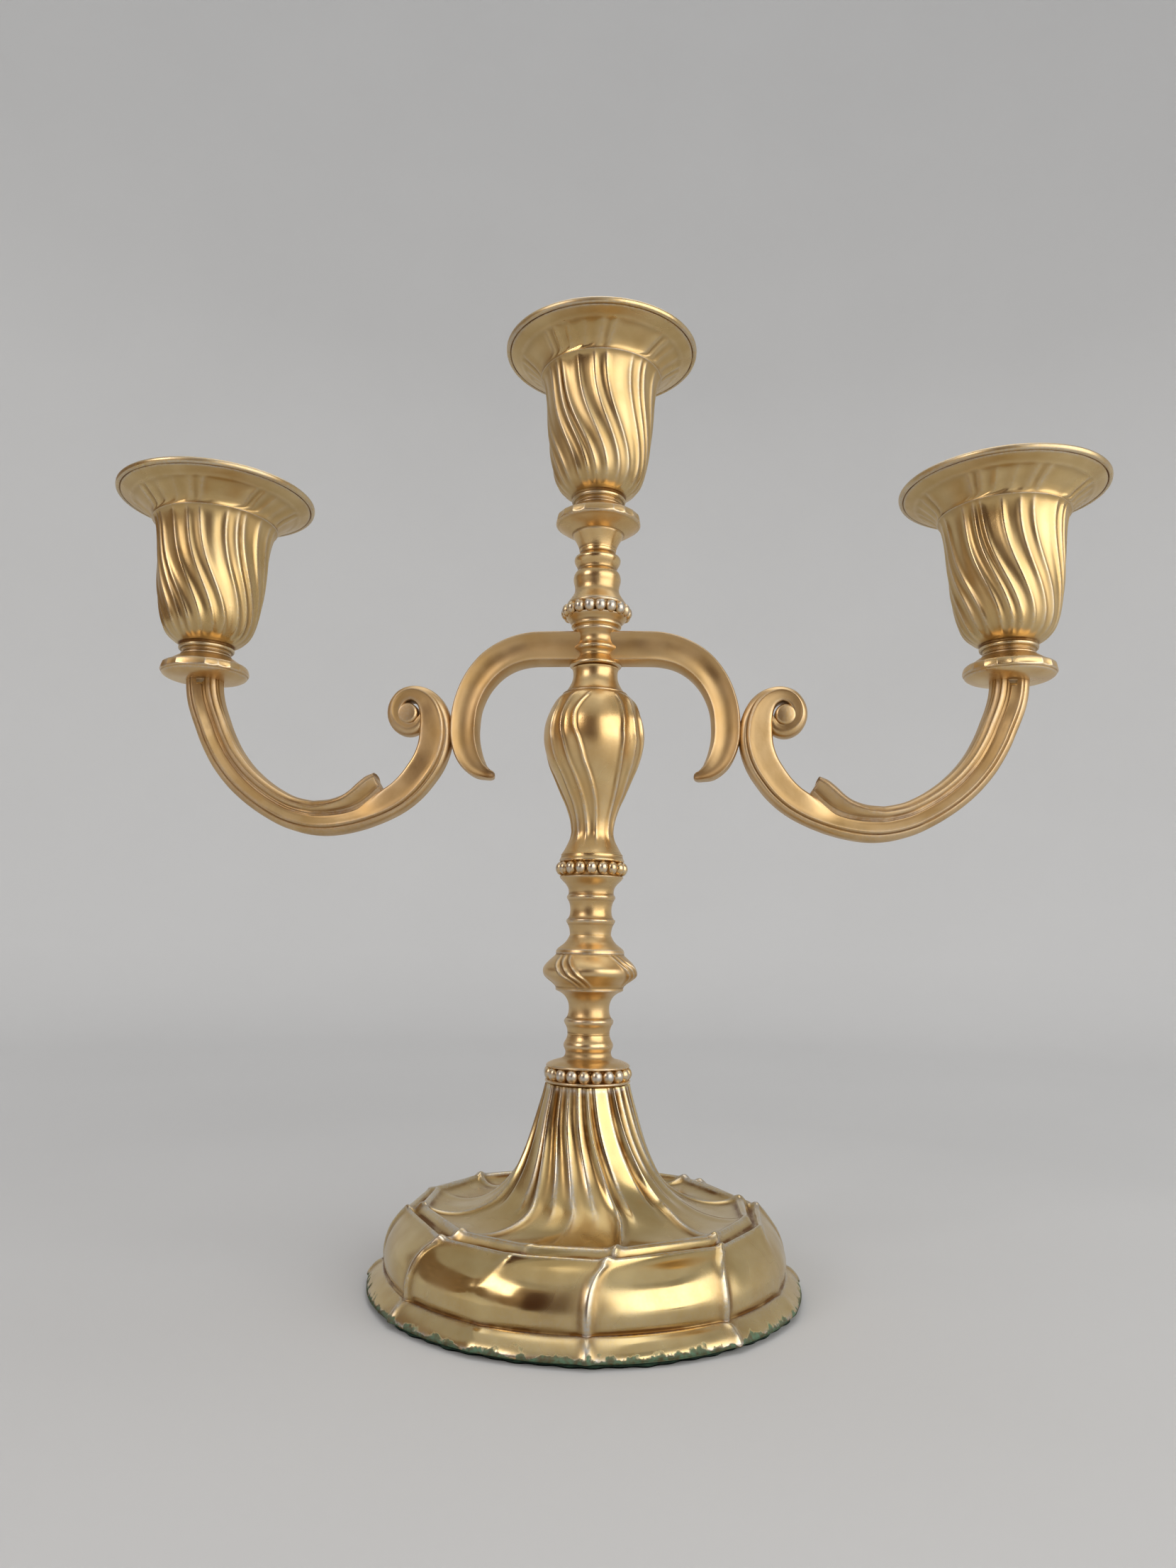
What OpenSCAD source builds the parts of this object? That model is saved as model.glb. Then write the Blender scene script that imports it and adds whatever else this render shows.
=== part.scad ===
// Three-light table candelabra in cast brass: a lobed foot, a turned stem clamped on one tie rod,
// two scroll arms and three fluted candle cups. The origin is the centre of the foot at table level,
// +Z is up, and the arms reach along X.

/* [Candle cups] */
// Radius of the candle socket, for a 22 mm taper candle
socket_r = 11.3; // [10:0.1:12]
// Depth of the candle socket below the lip
socket_depth = 29; // [22:0.5:31]
// Height of a candle cup
cup_h = 45.5; // [42:0.5:52]
// Radius of the flared lip
lip_r = 27; // [24:0.5:30]
// Radius of the cup's body under the flare
cup_body_r = 15.5; // [14.6:0.1:17]
// Radius of the cup's foot ring
cup_neck_r = 7.4; // [6.6:0.1:8.4]
// Height of the cup's foot ring
cup_neck_h = 1.6; // [1.2:0.1:2.4]
// Height of the flare above the crease
flare_h = 8.8; // [7:0.1:11]
// Swirled flutes around a cup
cup_flutes = 24; // [16:1:28]
// Depth of a cup's flutes
cup_flute_depth = 0.8; // [0.3:0.1:1.2]
// Turn of the flutes from the bowl's bottom to the crease
cup_twist = 35; // [0:1:60]

/* [Drip discs] */
// Radius of a drip disc
disc_r = 11.8; // [10.5:0.1:14]
// Height of a drip disc
disc_h = 10; // [9:0.1:12]
// Radius of a side disc's flat underside
disc_seat_r = 6.6; // [6:0.1:7.4]
// Height of the trumpet neck under the centre disc
trumpet_h = 4; // [3:0.1:6]

/* [Foot] */
// Radius of the foot at the table
foot_r = 54.2; // [52:0.2:60]
// Height of the foot casting
foot_h = 47.3; // [44:0.1:56]
// Radius of the foot's neck
foot_neck_r = 10.5; // [9.5:0.1:12]
// Height of the sloping band above the foot's edge
rim_band_h = 3.8; // [3:0.1:5]
// Radius of the crease above the band
crease_r = 49.5; // [48.8:0.1:50.5]
// Radius of the upper ridge of the dome
ridge_r = 45; // [44:0.1:46]
// Height of the upper ridge of the dome
ridge_h = 17; // [16.6:0.1:19]
// Radius of the lip around the dish
dish_lip_r = 40.8; // [40:0.1:41.6]
// Height of the lip around the dish
dish_lip_h = 18.4; // [18:0.1:20.4]
// Radius of the lowest circle of the dish
dish_r = 34; // [32:0.5:36]
// Height of the lowest circle of the dish
dish_h = 16.5; // [16.3:0.1:17.2]
// Height of the raised ridges between the lobes
crest_h = 0.8; // [0.2:0.1:1.2]
// Swirl of the ridges on the trumpet
foot_swirl = 20; // [0:1:30]
// Turn of the lobes about the stem
lobe_turn = 23.75; // [0:1.25:45]
// Thickness of the foot's wall
foot_wall = 1.8; // [1.4:0.1:2]

/* [Stem] */
// Height of the lower beaded collar
collar_h = 12.2; // [11.5:0.1:15]
// Height of the knop with its rings
knop_h = 25.3; // [23:0.1:30]
// Radius of the knop
knop_r = 12.2; // [11:0.1:14]
// Height of the middle beaded collar and its rings
mid_h = 20.9; // [19:0.1:25]
// Height of the baluster with its shoulder
baluster_h = 50.6; // [45:0.1:60]
// Radius of the baluster's belly
belly_r = 13.7; // [12:0.1:16]
// Radius of the baluster's shoulder, above the panels
shoulder_r = 9.8; // [9:0.1:10.5]
// Radius of the baluster's waist, below the panels
waist_r = 5.75; // [5.6:0.05:6.6]
// Turn of the panels over the baluster's height
baluster_twist = 60; // [0:1:90]
// Height of the arm hub
hub_h = 11.5; // [11.2:0.1:13]
// Height of the upper stem
upper_h = 22; // [20:0.1:26]
// Radius of the stem's rings
ring_r = 6.3; // [5.9:0.1:7]
// Radius at the bottom of the grooves between rings
groove_r = 5.4; // [5.2:0.1:5.8]
// Radius of the circle that the lower beads stand on
low_bead_ring_r = 9.7; // [9:0.1:10.5]
// Radius of a lower bead
low_bead_r = 1.5; // [1.2:0.05:1.5]
// Radius of the circle that the upper beads stand on
top_bead_ring_r = 8.2; // [7.8:0.1:9]
// Radius of an upper bead
top_bead_r = 1.3; // [1:0.05:1.5]

/* [Arms] */
// Reach from the stem's axis to a side cup's axis
arm_reach = 109.6; // [100:0.2:120]
// Drop from the hub's middle to the lowest centre line of the arm
arm_drop = 46.75; // [43:0.25:50]
// Distance from the stem's axis to the joint between the two scrolls
joint_x = 38.9; // [36:0.1:42]
// Width of the arm's moulding
arm_w = 8.8; // [8:0.1:9.6]
// Thickness of the arm, front to back
arm_t = 7; // [6.9:0.1:8]
// Radius of the volute
volute_r = 6.7; // [6:0.1:7.2]

/* [Fixings] */
// Radius of the tie rod and of the studs (M6)
rod_r = 3; // [2.5:0.1:3.2]
// Clearance around the tie rod in the castings
rod_gap = 0.2; // [0.1:0.05:0.4]
// Running clearance of a cup on its stud
stud_gap = 0.05; // [0.02:0.01:0.09]
// Clearance of a tight thread, in the nut and in the arms
thread_gap = 0.02; // [0.01:0.01:0.05]
// Length of a stud inside the cup
stud_in_cup = 6; // [4:0.5:8]
// Length of a stud inside the arm
stud_in_arm = 5.5; // [4:0.5:8]
// Width across the flats of the rod's nut
nut_flats = 10; // [9:0.1:12]
// Height of the rod's nut
nut_h = 5; // [4:0.1:5.4]
// Radius of the rod's washer
washer_r = 12; // [8:0.5:16]
// Thickness of the rod's washer
washer_t = 1.2; // [0.8:0.1:1.4]
// Radius of the ballast ring
ballast_r = 36; // [30:0.5:37]
// Height of the ballast ring
ballast_h = 6; // [5:0.1:6.5]
// Thickness of the closing plate
plate_t = 1; // [0.6:0.1:1.2]
// Gap between the closing plate and the foot's wall
plate_gap = 0.15; // [0.05:0.05:0.4]
// Thickness of the baize under the foot
baize_t = 1.2; // [0.8:0.1:1.6]
// How far the baize stays inside the foot's edge
baize_inset = 0.4; // [0.2:0.1:1]

/* [Hidden] */
$fn = 64;

gold = "#c9a45c";
mirror_gold = "#c6a75a";
steel = "#8d9094";
iron = "#4a4a4c";
baize_green = "#2f4a36";

// Heights at which the pieces of the stack start.
z_foot = baize_t;
z_collar = z_foot + foot_h;
z_knop = z_collar + collar_h;
z_mid = z_knop + knop_h;
z_baluster = z_mid + mid_h;
z_hub = z_baluster + baluster_h;
z_upper = z_hub + hub_h;
z_trumpet = z_upper + upper_h;
z_centre_cup = z_trumpet + trumpet_h + disc_h;
z_arm = z_hub + hub_h / 2;
// The arm ends in a level seat for the side disc.
seat_drop = 0.227 * arm_drop;
z_seat = z_arm - seat_drop;
z_side_cup = z_seat + disc_h;
// The hub has a flat on each side for the inner scroll.
hub_flat_x = groove_r + 0.2;
rod_hole_r = rod_r + rod_gap;
z_ceiling = z_foot + dish_h - foot_wall;
z_ballast = z_ceiling - ballast_h;
z_washer = z_ballast - washer_t;
z_nut = z_washer - nut_h;
rod_tail = 0.6;

// Catmull-Rom curve through a list of points of any dimension, with n steps per span.
function spline_at(a, b, c, d, t) =
  0.5 * (2 * b + (c - a) * t + (2 * a - 5 * b + 4 * c - d) * t * t + (3 * b - a - 3 * c + d) * t * t * t);
function spline(p, n) = [
  for (i = [0 : len(p) - 2], k = [0 : n - 1])
    spline_at(p[max(i - 1, 0)], p[i], p[i + 1], p[min(i + 2, len(p) - 1)], k / n),
  p[len(p) - 1]
];
// Half-round ring of radius r at the middle of a band of height h that starts at z.
function ring(r, z, h, depth = 0.9) = [
  for (a = [-90 : 22.5 : 90]) [r - depth + depth * cos(a), z + h / 2 + h / 2 * sin(a)]
];

function middle(row) = [for (k = [0 : 2]) [for (p = row) p[k]] * [for (p = row) 1] / len(row)];

// Closed solid through rows of points: all rows have as many points, and the end rows are flat.
module skin(rows) {
  n = len(rows[0]);
  m = len(rows);
  points = concat([for (row = rows) each row], [middle(rows[0]), middle(rows[m - 1])]);
  sides = [
    for (i = [0 : m - 2], j = [0 : n - 1])
      each [
        [i * n + j, (i + 1) * n + j, (i + 1) * n + (j + 1) % n],
        [i * n + j, (i + 1) * n + (j + 1) % n, i * n + (j + 1) % n]
      ]
  ];
  first_cap = [for (j = [0 : n - 1]) [m * n, j, (j + 1) % n]];
  last_cap = [for (j = [0 : n - 1]) [m * n + 1, (m - 1) * n + (j + 1) % n, (m - 1) * n + j]];
  polyhedron(points, concat(sides, first_cap, last_cap), convexity = 6);
}

// Solid through rows of [radius, height, groove depth, turn]. A spoke is [angle, share of the depth].
module grooved(rows, spokes) {
  skin([
    for (r = rows) [
      for (s = spokes)
        let (radius = r[0] - r[2] * s[1])
        [radius * cos(s[0] + r[3]), radius * sin(s[0] + r[3]), r[1]]
    ]
  ]);
}

// Spokes of equal flutes, each between two ridges.
function flute_spokes(flutes) = [
  for (i = [0 : flutes - 1], k = [0 : 2])
    [360 * (i + k / 3) / flutes, k == 0 ? 0 : 1]
];
// Spokes of four wide panels, each followed by two narrow flutes, all between ridges.
function panel_spokes(wide) = [
  for (i = [0 : 3], k = [0 : 15])
    let (flute = (90 - wide) / 8)
    k < 8
      ? [90 * i + wide * k / 8, sin(22.5 * k)]
      : [90 * i + wide + flute * (k - 8), 0.7 * sin(45 * (k % 4))]
];

module turned(profile) {
  rotate_extrude() polygon(profile);
}

module rod_hole(h, r = rod_hole_r) {
  translate([0, 0, -1]) cylinder(r = r, h = h + 2);
}

// Piece of the stem: its outline from bottom to top, bored for the tie rod.
module stem_piece(outline, h) {
  difference() {
    turned(concat([[0, 0]], outline, [[0, h]]));
    rod_hole(h);
  }
}

module beads(ring_radius, bead_radius, z, count) {
  for (i = [0 : count - 1])
    rotate([0, 0, 360 * i / count]) translate([ring_radius, 0, z]) sphere(r = bead_radius, $fn = 24);
}

// ---- foot ----

// The foot has four wide lobes between pairs of sharp ridges. A soft rib stands midway between pairs.
sharp_at = 18.75;
soft_at = 45;
function lobe_angle(a) = abs(((a - lobe_turn) % 90 + 135) % 90 - 45);
function lobe_chord(m) = m < sharp_at
  ? cos(sharp_at) / cos(m)
  : cos((soft_at - sharp_at) / 2) / cos(m - (soft_at + sharp_at) / 2);
function crest(m) = max(1 - abs(m - sharp_at) / 3.75, 0.6 - 0.6 * abs(m - soft_at) / 3.75, 0);

// A row of the foot's outline is [radius, height, how far the lobes are flat, crest height, swirl].
trumpet_step = 10;
foot_rows = concat(
  [
    [foot_r, 0, 0, 0, 0],
    [foot_r - 1.2, 0.4 * rim_band_h, 0.05, 0.2, 0],
    [crease_r, rim_band_h, 0.2, 0.3, 0],
    [crease_r - 0.1, rim_band_h + 0.23 * (ridge_h - rim_band_h), 0.3, 0.8, 0.02],
    [crease_r - 0.9, rim_band_h + 0.5 * (ridge_h - rim_band_h), 0.5, 0.8, 0.05],
    [(crease_r + ridge_r) / 2, rim_band_h + 0.76 * (ridge_h - rim_band_h), 0.8, 0.7, 0.12],
    [ridge_r, ridge_h, 1, 0.5, 0.25],
    [(ridge_r + dish_lip_r) / 2, (ridge_h + dish_lip_h) / 2 - 0.8, 1, 0.3, 0.35],
    [dish_lip_r, dish_lip_h, 1, 0.3, 0.45],
    [(dish_lip_r + dish_r) / 2, dish_h + 0.25 * (dish_lip_h - dish_h), 0.7, 0.9, 0.48]
  ],
  [
    for (t = [90 : -trumpet_step : 0])
      [
        dish_r - (dish_r - foot_neck_r) * cos(t),
        foot_h - (foot_h - dish_h) * sin(t),
        0.5 * sin(t),
        min(1, 0.3 + 2 * sin(t)),
        (1 - cos(3 * t)) / 2
      ]
  ]
);
foot_columns = 96;

// Outward direction of the outline at row i, from the rows on either side of it.
function outward(i) =
  let (
    a = foot_rows[max(i - 1, 0)],
    b = foot_rows[min(i + 1, len(foot_rows) - 1)],
    run = [b[0] - a[0], b[1] - a[1]]
  ) [run[1], -run[0]] / norm(run);

function foot_point(i, a) =
  let (
    row = foot_rows[i],
    m = lobe_angle(a),
    end_row = i == 0 || i == len(foot_rows) - 1,
    c = crest_h * row[3] * crest(m),
    r = row[0] * (1 - row[2] + row[2] * lobe_chord(m)) + c * (end_row ? 1 : outward(i)[0]),
    z = row[1] + (end_row ? 0 : c * outward(i)[1]),
    turn = a + foot_swirl * row[4]
  ) [r * cos(turn), r * sin(turn), z];

// Hollow of the foot, kept a wall's thickness inside the lobes' flats.
plate_hole_r = foot_r - 4.2;
module foot_hollow() {
  flat = cos(sharp_at);
  neck_in = foot_neck_r - 2 * foot_wall;
  turned([
    [0, -1],
    [plate_hole_r, -1],
    [plate_hole_r, plate_t + 0.2],
    [crease_r - 2.6 - foot_wall, rim_band_h + 0.4],
    [flat * crease_r - foot_wall - 0.4, rim_band_h + 3],
    [flat * (crease_r + ridge_r) / 2 - foot_wall - 1.2, ridge_h - 5],
    [flat * dish_lip_r - 0.8, dish_h - foot_wall],
    [27, dish_h - foot_wall],
    [dish_r - (dish_r - foot_neck_r + foot_wall) * cos(55), foot_h - (foot_h - dish_h) * sin(55) - foot_wall],
    [dish_r - (dish_r - foot_neck_r + foot_wall) * cos(30), foot_h - (foot_h - dish_h) * sin(30) - foot_wall],
    [neck_in, foot_h - 8],
    [neck_in, foot_h - 3],
    [0, foot_h - 3]
  ]);
}

module foot_shell() {
  color(mirror_gold) translate([0, 0, z_foot]) difference() {
    skin([for (i = [0 : len(foot_rows) - 1]) [for (j = [0 : foot_columns - 1]) foot_point(i, 360 * j / foot_columns)]]);
    foot_hollow();
    rod_hole(foot_h);
  }
}

module foot_weight() {
  color(iron) translate([0, 0, z_ballast]) difference() {
    cylinder(r = ballast_r, h = ballast_h);
    rod_hole(ballast_h);
  }
}

module base_plate() {
  color(steel) translate([0, 0, z_foot]) cylinder(r = plate_hole_r - plate_gap, h = plate_t);
}

module baize_pad() {
  color(baize_green) cylinder(r = foot_r - baize_inset, h = baize_t);
}

// ---- fixings ----

module tie_rod() {
  color(steel) translate([0, 0, z_nut - rod_tail])
    cylinder(r = rod_r, h = z_centre_cup + stud_in_cup - z_nut + rod_tail);
}

module rod_washer() {
  color(steel) translate([0, 0, z_washer]) difference() {
    cylinder(r = washer_r, h = washer_t);
    rod_hole(washer_t);
  }
}

module rod_nut() {
  color(steel) translate([0, 0, z_nut]) difference() {
    cylinder(r = nut_flats / 2 / cos(30), h = nut_h, $fn = 6);
    rod_hole(nut_h, rod_r + thread_gap);
  }
}

module stud(side) {
  color(steel) translate([side * arm_reach, 0, z_seat - stud_in_arm])
    cylinder(r = rod_r, h = stud_in_arm + disc_h + stud_in_cup);
}

// ---- stem ----

low_beads = 20;
mid_beads = 18;
top_beads = 18;

module lower_bead_collar() {
  band_h = 1;
  bead_z = band_h + 0.85 * low_bead_r;
  color(gold) translate([0, 0, z_collar]) union() {
    stem_piece(
      concat(
        [
          [foot_neck_r - 0.1, 0],
          [foot_neck_r + 0.4, band_h * 0.6],
          [low_bead_ring_r + 0.5, band_h],
          [low_bead_ring_r + 0.1, bead_z + 0.2],
          [low_bead_ring_r - 0.2, bead_z + 0.8 * low_bead_r],
          [low_bead_ring_r - 0.8, bead_z + low_bead_r + 0.9]
        ],
        spline([[8.1, 5.8], [6.9, 6.9], [groove_r + 0.5, 7.9]], 3),
        ring(ring_r, 8.2, collar_h - 8.7),
        [[groove_r, collar_h - 0.4], [groove_r, collar_h]]
      ),
      collar_h
    );
    beads(low_bead_ring_r, low_bead_r, bead_z, low_beads);
  }
}

// Outline of the knop's four panels, as [share of the bulge, share of the height].
knop_outline = [[0.1, 0], [0.35, 0.06], [0.75, 0.22], [1, 0.42], [0.95, 0.56], [0.6, 0.78], [0.3, 0.92], [-0.05, 1]];
knop_wide = 68;
knop_turn = -22;
knop_twist = 32;
module knop() {
  foot_ring_h = 5.4;
  body_z = 12.4;
  body_h = knop_h - body_z - 5;
  body_top = body_z + body_h;
  core_r = 8.6;
  color(gold) translate([0, 0, z_knop]) difference() {
    union() {
      stem_piece(
        concat(
          [[groove_r, 0], [groove_r, 0.6]],
          ring(ring_r, 0.8, foot_ring_h - 0.8),
          spline([[groove_r + 0.2, foot_ring_h], [groove_r, 7], [6.9, body_z - 2.2]], 3),
          [
            [core_r, body_z - 1.2],
            [core_r, body_top],
            [core_r + 0.6, body_top],
            [core_r + 0.4, body_top + 1],
            [core_r - 0.5, body_top + 1.4],
            [core_r - 1.6, body_top + 2.2]
          ],
          ring(ring_r, body_top + 2.4, 2),
          [[groove_r, knop_h]]
        ),
        knop_h
      );
      translate([0, 0, body_z])
        grooved(
          [
            for (p = knop_outline)
              [
                core_r + (knop_r - core_r) * p[0],
                (body_h + 0.3) * p[1],
                p[0] < 0.2 ? 0 : p[0],
                knop_turn - 90 + knop_twist * (1 - p[1])
              ]
          ],
          panel_spokes(knop_wide)
        );
    }
    rod_hole(knop_h);
  }
}

module middle_bead_collar() {
  rings_h = 11.9;
  bead_z = mid_h - 3.7;
  color(gold) translate([0, 0, z_mid]) union() {
    stem_piece(
      concat(
        [[groove_r, 0], [groove_r, 0.8]],
        ring(ring_r, 1, rings_h / 2 - 0.6),
        [[groove_r, rings_h / 2 + 0.6]],
        ring(ring_r, rings_h / 2 + 0.8, rings_h / 2 - 1),
        spline([[groove_r + 0.5, rings_h], [6.9, rings_h + 1.4], [7.7, bead_z - top_bead_r]], 3),
        [[top_bead_ring_r + 0.1, bead_z + 0.2], [top_bead_ring_r - 0.1, bead_z + 0.8 * top_bead_r]],
        [[8, mid_h - 1.5], [7.6, mid_h - 0.5], [7.2, mid_h]]
      ),
      mid_h
    );
    beads(top_bead_ring_r, top_bead_r, bead_z, mid_beads);
  }
}

// The belly's outline between the waist and the shoulder, as [share of the belly's bulge, share of height].
belly_outline = [
  [0, 0.13], [0.17, 0.255], [0.33, 0.314], [0.58, 0.405], [0.77, 0.466], [0.91, 0.528], [1, 0.625],
  [0.91, 0.727], [0.72, 0.789], [0.5, 0.836]
];
baluster_wide = 57;
// Turn of the ridge beside a wide panel where the belly is widest.
baluster_turn = -19;
module baluster() {
  shoulder_z = 0.836 * baluster_h;
  shoulder_h = baluster_h - shoulder_z;
  neck_r = ring_r - 0.3;
  foot_flare_r = waist_r + 1.35;
  color(gold) translate([0, 0, z_baluster]) difference() {
    union() {
      stem_piece(
        concat(
          spline([[foot_flare_r, 0], [waist_r + 0.55, 0.04 * baluster_h], [waist_r, 0.13 * baluster_h + 0.5]], 3),
          [[waist_r, shoulder_z]],
          [[shoulder_r, shoulder_z], [shoulder_r - 0.2, shoulder_z + 0.05 * shoulder_h]],
          spline(
            [
              [shoulder_r - 1.2, shoulder_z + 0.2 * shoulder_h],
              [neck_r + 0.9, shoulder_z + 0.4 * shoulder_h],
              [neck_r + 0.1, shoulder_z + 0.55 * shoulder_h],
              [neck_r, baluster_h - 1.2],
              [neck_r + 0.2, baluster_h]
            ],
            3
          )
        ),
        baluster_h
      );
      grooved(
        [
          for (p = belly_outline)
            [
              waist_r + (belly_r - waist_r) * p[0],
              baluster_h * p[1],
              p[0],
              baluster_turn - 90 + baluster_twist * max(0, 0.62 - p[1]) * 1.6
            ]
        ],
        panel_spokes(baluster_wide)
      );
    }
    rod_hole(baluster_h);
  }
}

module arm_hub() {
  land = 0.4;
  band = (hub_h - 2 * land) / 3;
  color(gold) translate([0, 0, z_hub]) intersection() {
    stem_piece(
      concat(
        [[groove_r, 0]],
        [for (i = [0 : 2]) each ring(ring_r + 0.4, land + i * band, band, 1.2)],
        [[groove_r, hub_h]]
      ),
      hub_h
    );
    translate([-hub_flat_x, -20, 0]) cube([2 * hub_flat_x, 40, hub_h]);
  }
}

module upper_stem() {
  bead_z = 4.3;
  color(gold) translate([0, 0, z_upper]) union() {
    stem_piece(
      concat(
        [[6.2, 0], [7.3, 0.8], [7.8, bead_z - 1.7]],
        [[top_bead_ring_r + 0.1, bead_z + 0.2], [top_bead_ring_r, bead_z + 0.8 * top_bead_r]],
        spline([[8.3, bead_z + 2], [7.2, bead_z + 3.6], [6.2, bead_z + 5.6]], 3),
        ring(ring_r + 0.2, 10.4, 5.2),
        [[groove_r, 16.1]],
        ring(ring_r + 0.1, 16.6, upper_h - 17.6),
        [[groove_r - 0.2, upper_h - 0.6], [groove_r - 0.3, upper_h]]
      ),
      upper_h
    );
    beads(top_bead_ring_r, top_bead_r, bead_z, top_beads);
  }
}

// ---- arms ----

// Points on the arm's centre line are [share of reach, share of drop below the hub's middle].
inner_line = [
  [-0.1, 0, 1], [0.192, 0, 1], [0.378, -0.007, 1], [0.541, -0.044, 0.99], [0.685, -0.112, 0.97],
  [0.799, -0.217, 0.94], [0.865, -0.341, 0.97], [0.886, -0.459, 0.99], [0.877, -0.561, 0.9],
  [0.835, -0.651, 0.78], [0.769, -0.713, 0.57], [0.691, -0.745, 0.3], [0.655, -0.748, 0.11]
];
outer_line = [
  [1, -0.13, 1], [0.99, -0.316, 1], [0.958, -0.444, 1], [0.905, -0.594, 1], [0.84, -0.726, 1],
  [0.76, -0.844, 1], [0.675, -0.927, 1], [0.581, -0.981, 1], [0.482, -1, 1], [0.383, -0.987, 1],
  [0.284, -0.949, 1], [0.192, -0.884, 1], [0.123, -0.788, 1], [0.083, -0.677, 1], [0.065, -0.561, 1],
  [0.061, -0.444, 0.9], [0.08, -0.341, 0.75], [0.13, -0.275, 0.6]
];
thorn_line = [
  [0.42, -0.94, 0.55], [0.37, -0.905, 0.5], [0.335, -0.83, 0.36], [0.31, -0.76, 0.22], [0.301, -0.735, 0.08]
];
volute_at = [0.158, -0.35];

// Half of the moulding's section, from its outer edge to its inner edge, as shares of half its size.
section_half = [[1, 0.3], [0.86, 0.75], [0.6, 1], [0.2, 0.9], [-0.05, 0.74], [-0.4, 0.96], [-0.75, 0.9], [-1, 0.35]];
section = concat(
  [for (s = section_half) [s[0], -s[1]]],
  [for (i = [len(section_half) - 1 : -1 : 0]) section_half[i]]
);

// Row of points across the moulding at station i of line p.
function across(p, i, thick) =
  let (
    a = p[max(i - 1, 0)],
    b = p[min(i + 1, len(p) - 1)],
    along = [b[0] - a[0], b[1] - a[1]] / norm([b[0] - a[0], b[1] - a[1]]),
    w = arm_w / 2 * p[i][2],
    t = arm_t / 2 * (thick ? min(1, 0.25 + p[i][2]) : p[i][2])
  ) [
    for (s = section)
      [p[i][0] - along[1] * s[0] * w, s[1] * t, p[i][1] + along[0] * s[0] * w]
  ];

module moulding(line, x_start, x_run, steps, thick = true) {
  path = spline([for (p = line) [x_start + x_run * p[0], z_arm + arm_drop * p[1], p[2]]], steps);
  skin([for (i = [0 : len(path) - 1]) across(path, i, thick)]);
}

// An arm is drawn towards +X and mirrored for the other side.
module to_side(side) {
  if (side > 0) children();
  else mirror([1, 0, 0]) children();
}

module inner_scroll(side) {
  color(gold) to_side(side) intersection() {
    moulding(inner_line, hub_flat_x, joint_x - hub_flat_x, 2);
    translate([hub_flat_x, -arm_t, z_arm - 2 * arm_drop]) cube([joint_x - hub_flat_x, 2 * arm_t, 4 * arm_drop]);
  }
}

module outer_scroll(side) {
  reach = arm_reach - joint_x;
  color(gold) to_side(side) difference() {
    union() {
      moulding(outer_line, joint_x, reach, 2);
      moulding(thorn_line, joint_x, reach, 2, false);
      translate([joint_x + reach * volute_at[0], 0, z_arm + arm_drop * volute_at[1]]) rotate([90, 0, 0]) volute();
    }
    translate([joint_x - 20, -arm_t, z_arm - 2 * arm_drop]) cube([20, 2 * arm_t, 4 * arm_drop]);
    translate([arm_reach - arm_w, -arm_t, z_seat]) cube([2 * arm_w, 2 * arm_t, 20]);
    translate([arm_reach, 0, z_seat - stud_in_arm]) cylinder(r = rod_r + thread_gap, h = stud_in_arm + 1);
  }
}

// Rounded disc with a raised eye, on its own axis.
module volute() {
  half_t = arm_t / 2;
  eye_r = 0.45 * volute_r;
  turned([
    [0, -half_t],
    [eye_r, -half_t + 0.3],
    [eye_r + 0.6, -half_t + 0.9],
    [volute_r - 1.2, -half_t + 0.5],
    [volute_r - 0.3, -half_t + 1.4],
    [volute_r, -half_t + 2.4],
    [volute_r, half_t - 2.4],
    [volute_r - 0.3, half_t - 1.4],
    [volute_r - 1.2, half_t - 0.5],
    [eye_r + 0.6, half_t - 0.9],
    [eye_r, half_t - 0.3],
    [0, half_t]
  ]);
}

// ---- drip discs and cups ----

// Outline of a disc above its neck, as [radius, height].
disc_outline = concat(
  spline([[disc_seat_r + 0.7, 0], [disc_r - 1.1, 0.25 * disc_h], [disc_r, 0.48 * disc_h], [disc_r - 0.9, 0.73 * disc_h]], 4),
  [[disc_r - 2.3, 0.9 * disc_h], [cup_neck_r + 0.6, disc_h - 0.2], [cup_neck_r, disc_h]]
);

module side_drip_disc(side) {
  color(gold) translate([side * arm_reach, 0, z_seat])
    stem_piece(concat([[disc_seat_r, 0]], disc_outline), disc_h);
}

module centre_drip_disc() {
  color(gold) translate([0, 0, z_trumpet])
    stem_piece(
      concat(
        spline([[groove_r - 0.3, 0], [5.9, 0.45 * trumpet_h], [disc_seat_r + 0.3, 0.8 * trumpet_h]], 3),
        [for (p = disc_outline) [p[0], p[1] + trumpet_h]]
      ),
      trumpet_h + disc_h
    );
}

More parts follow.
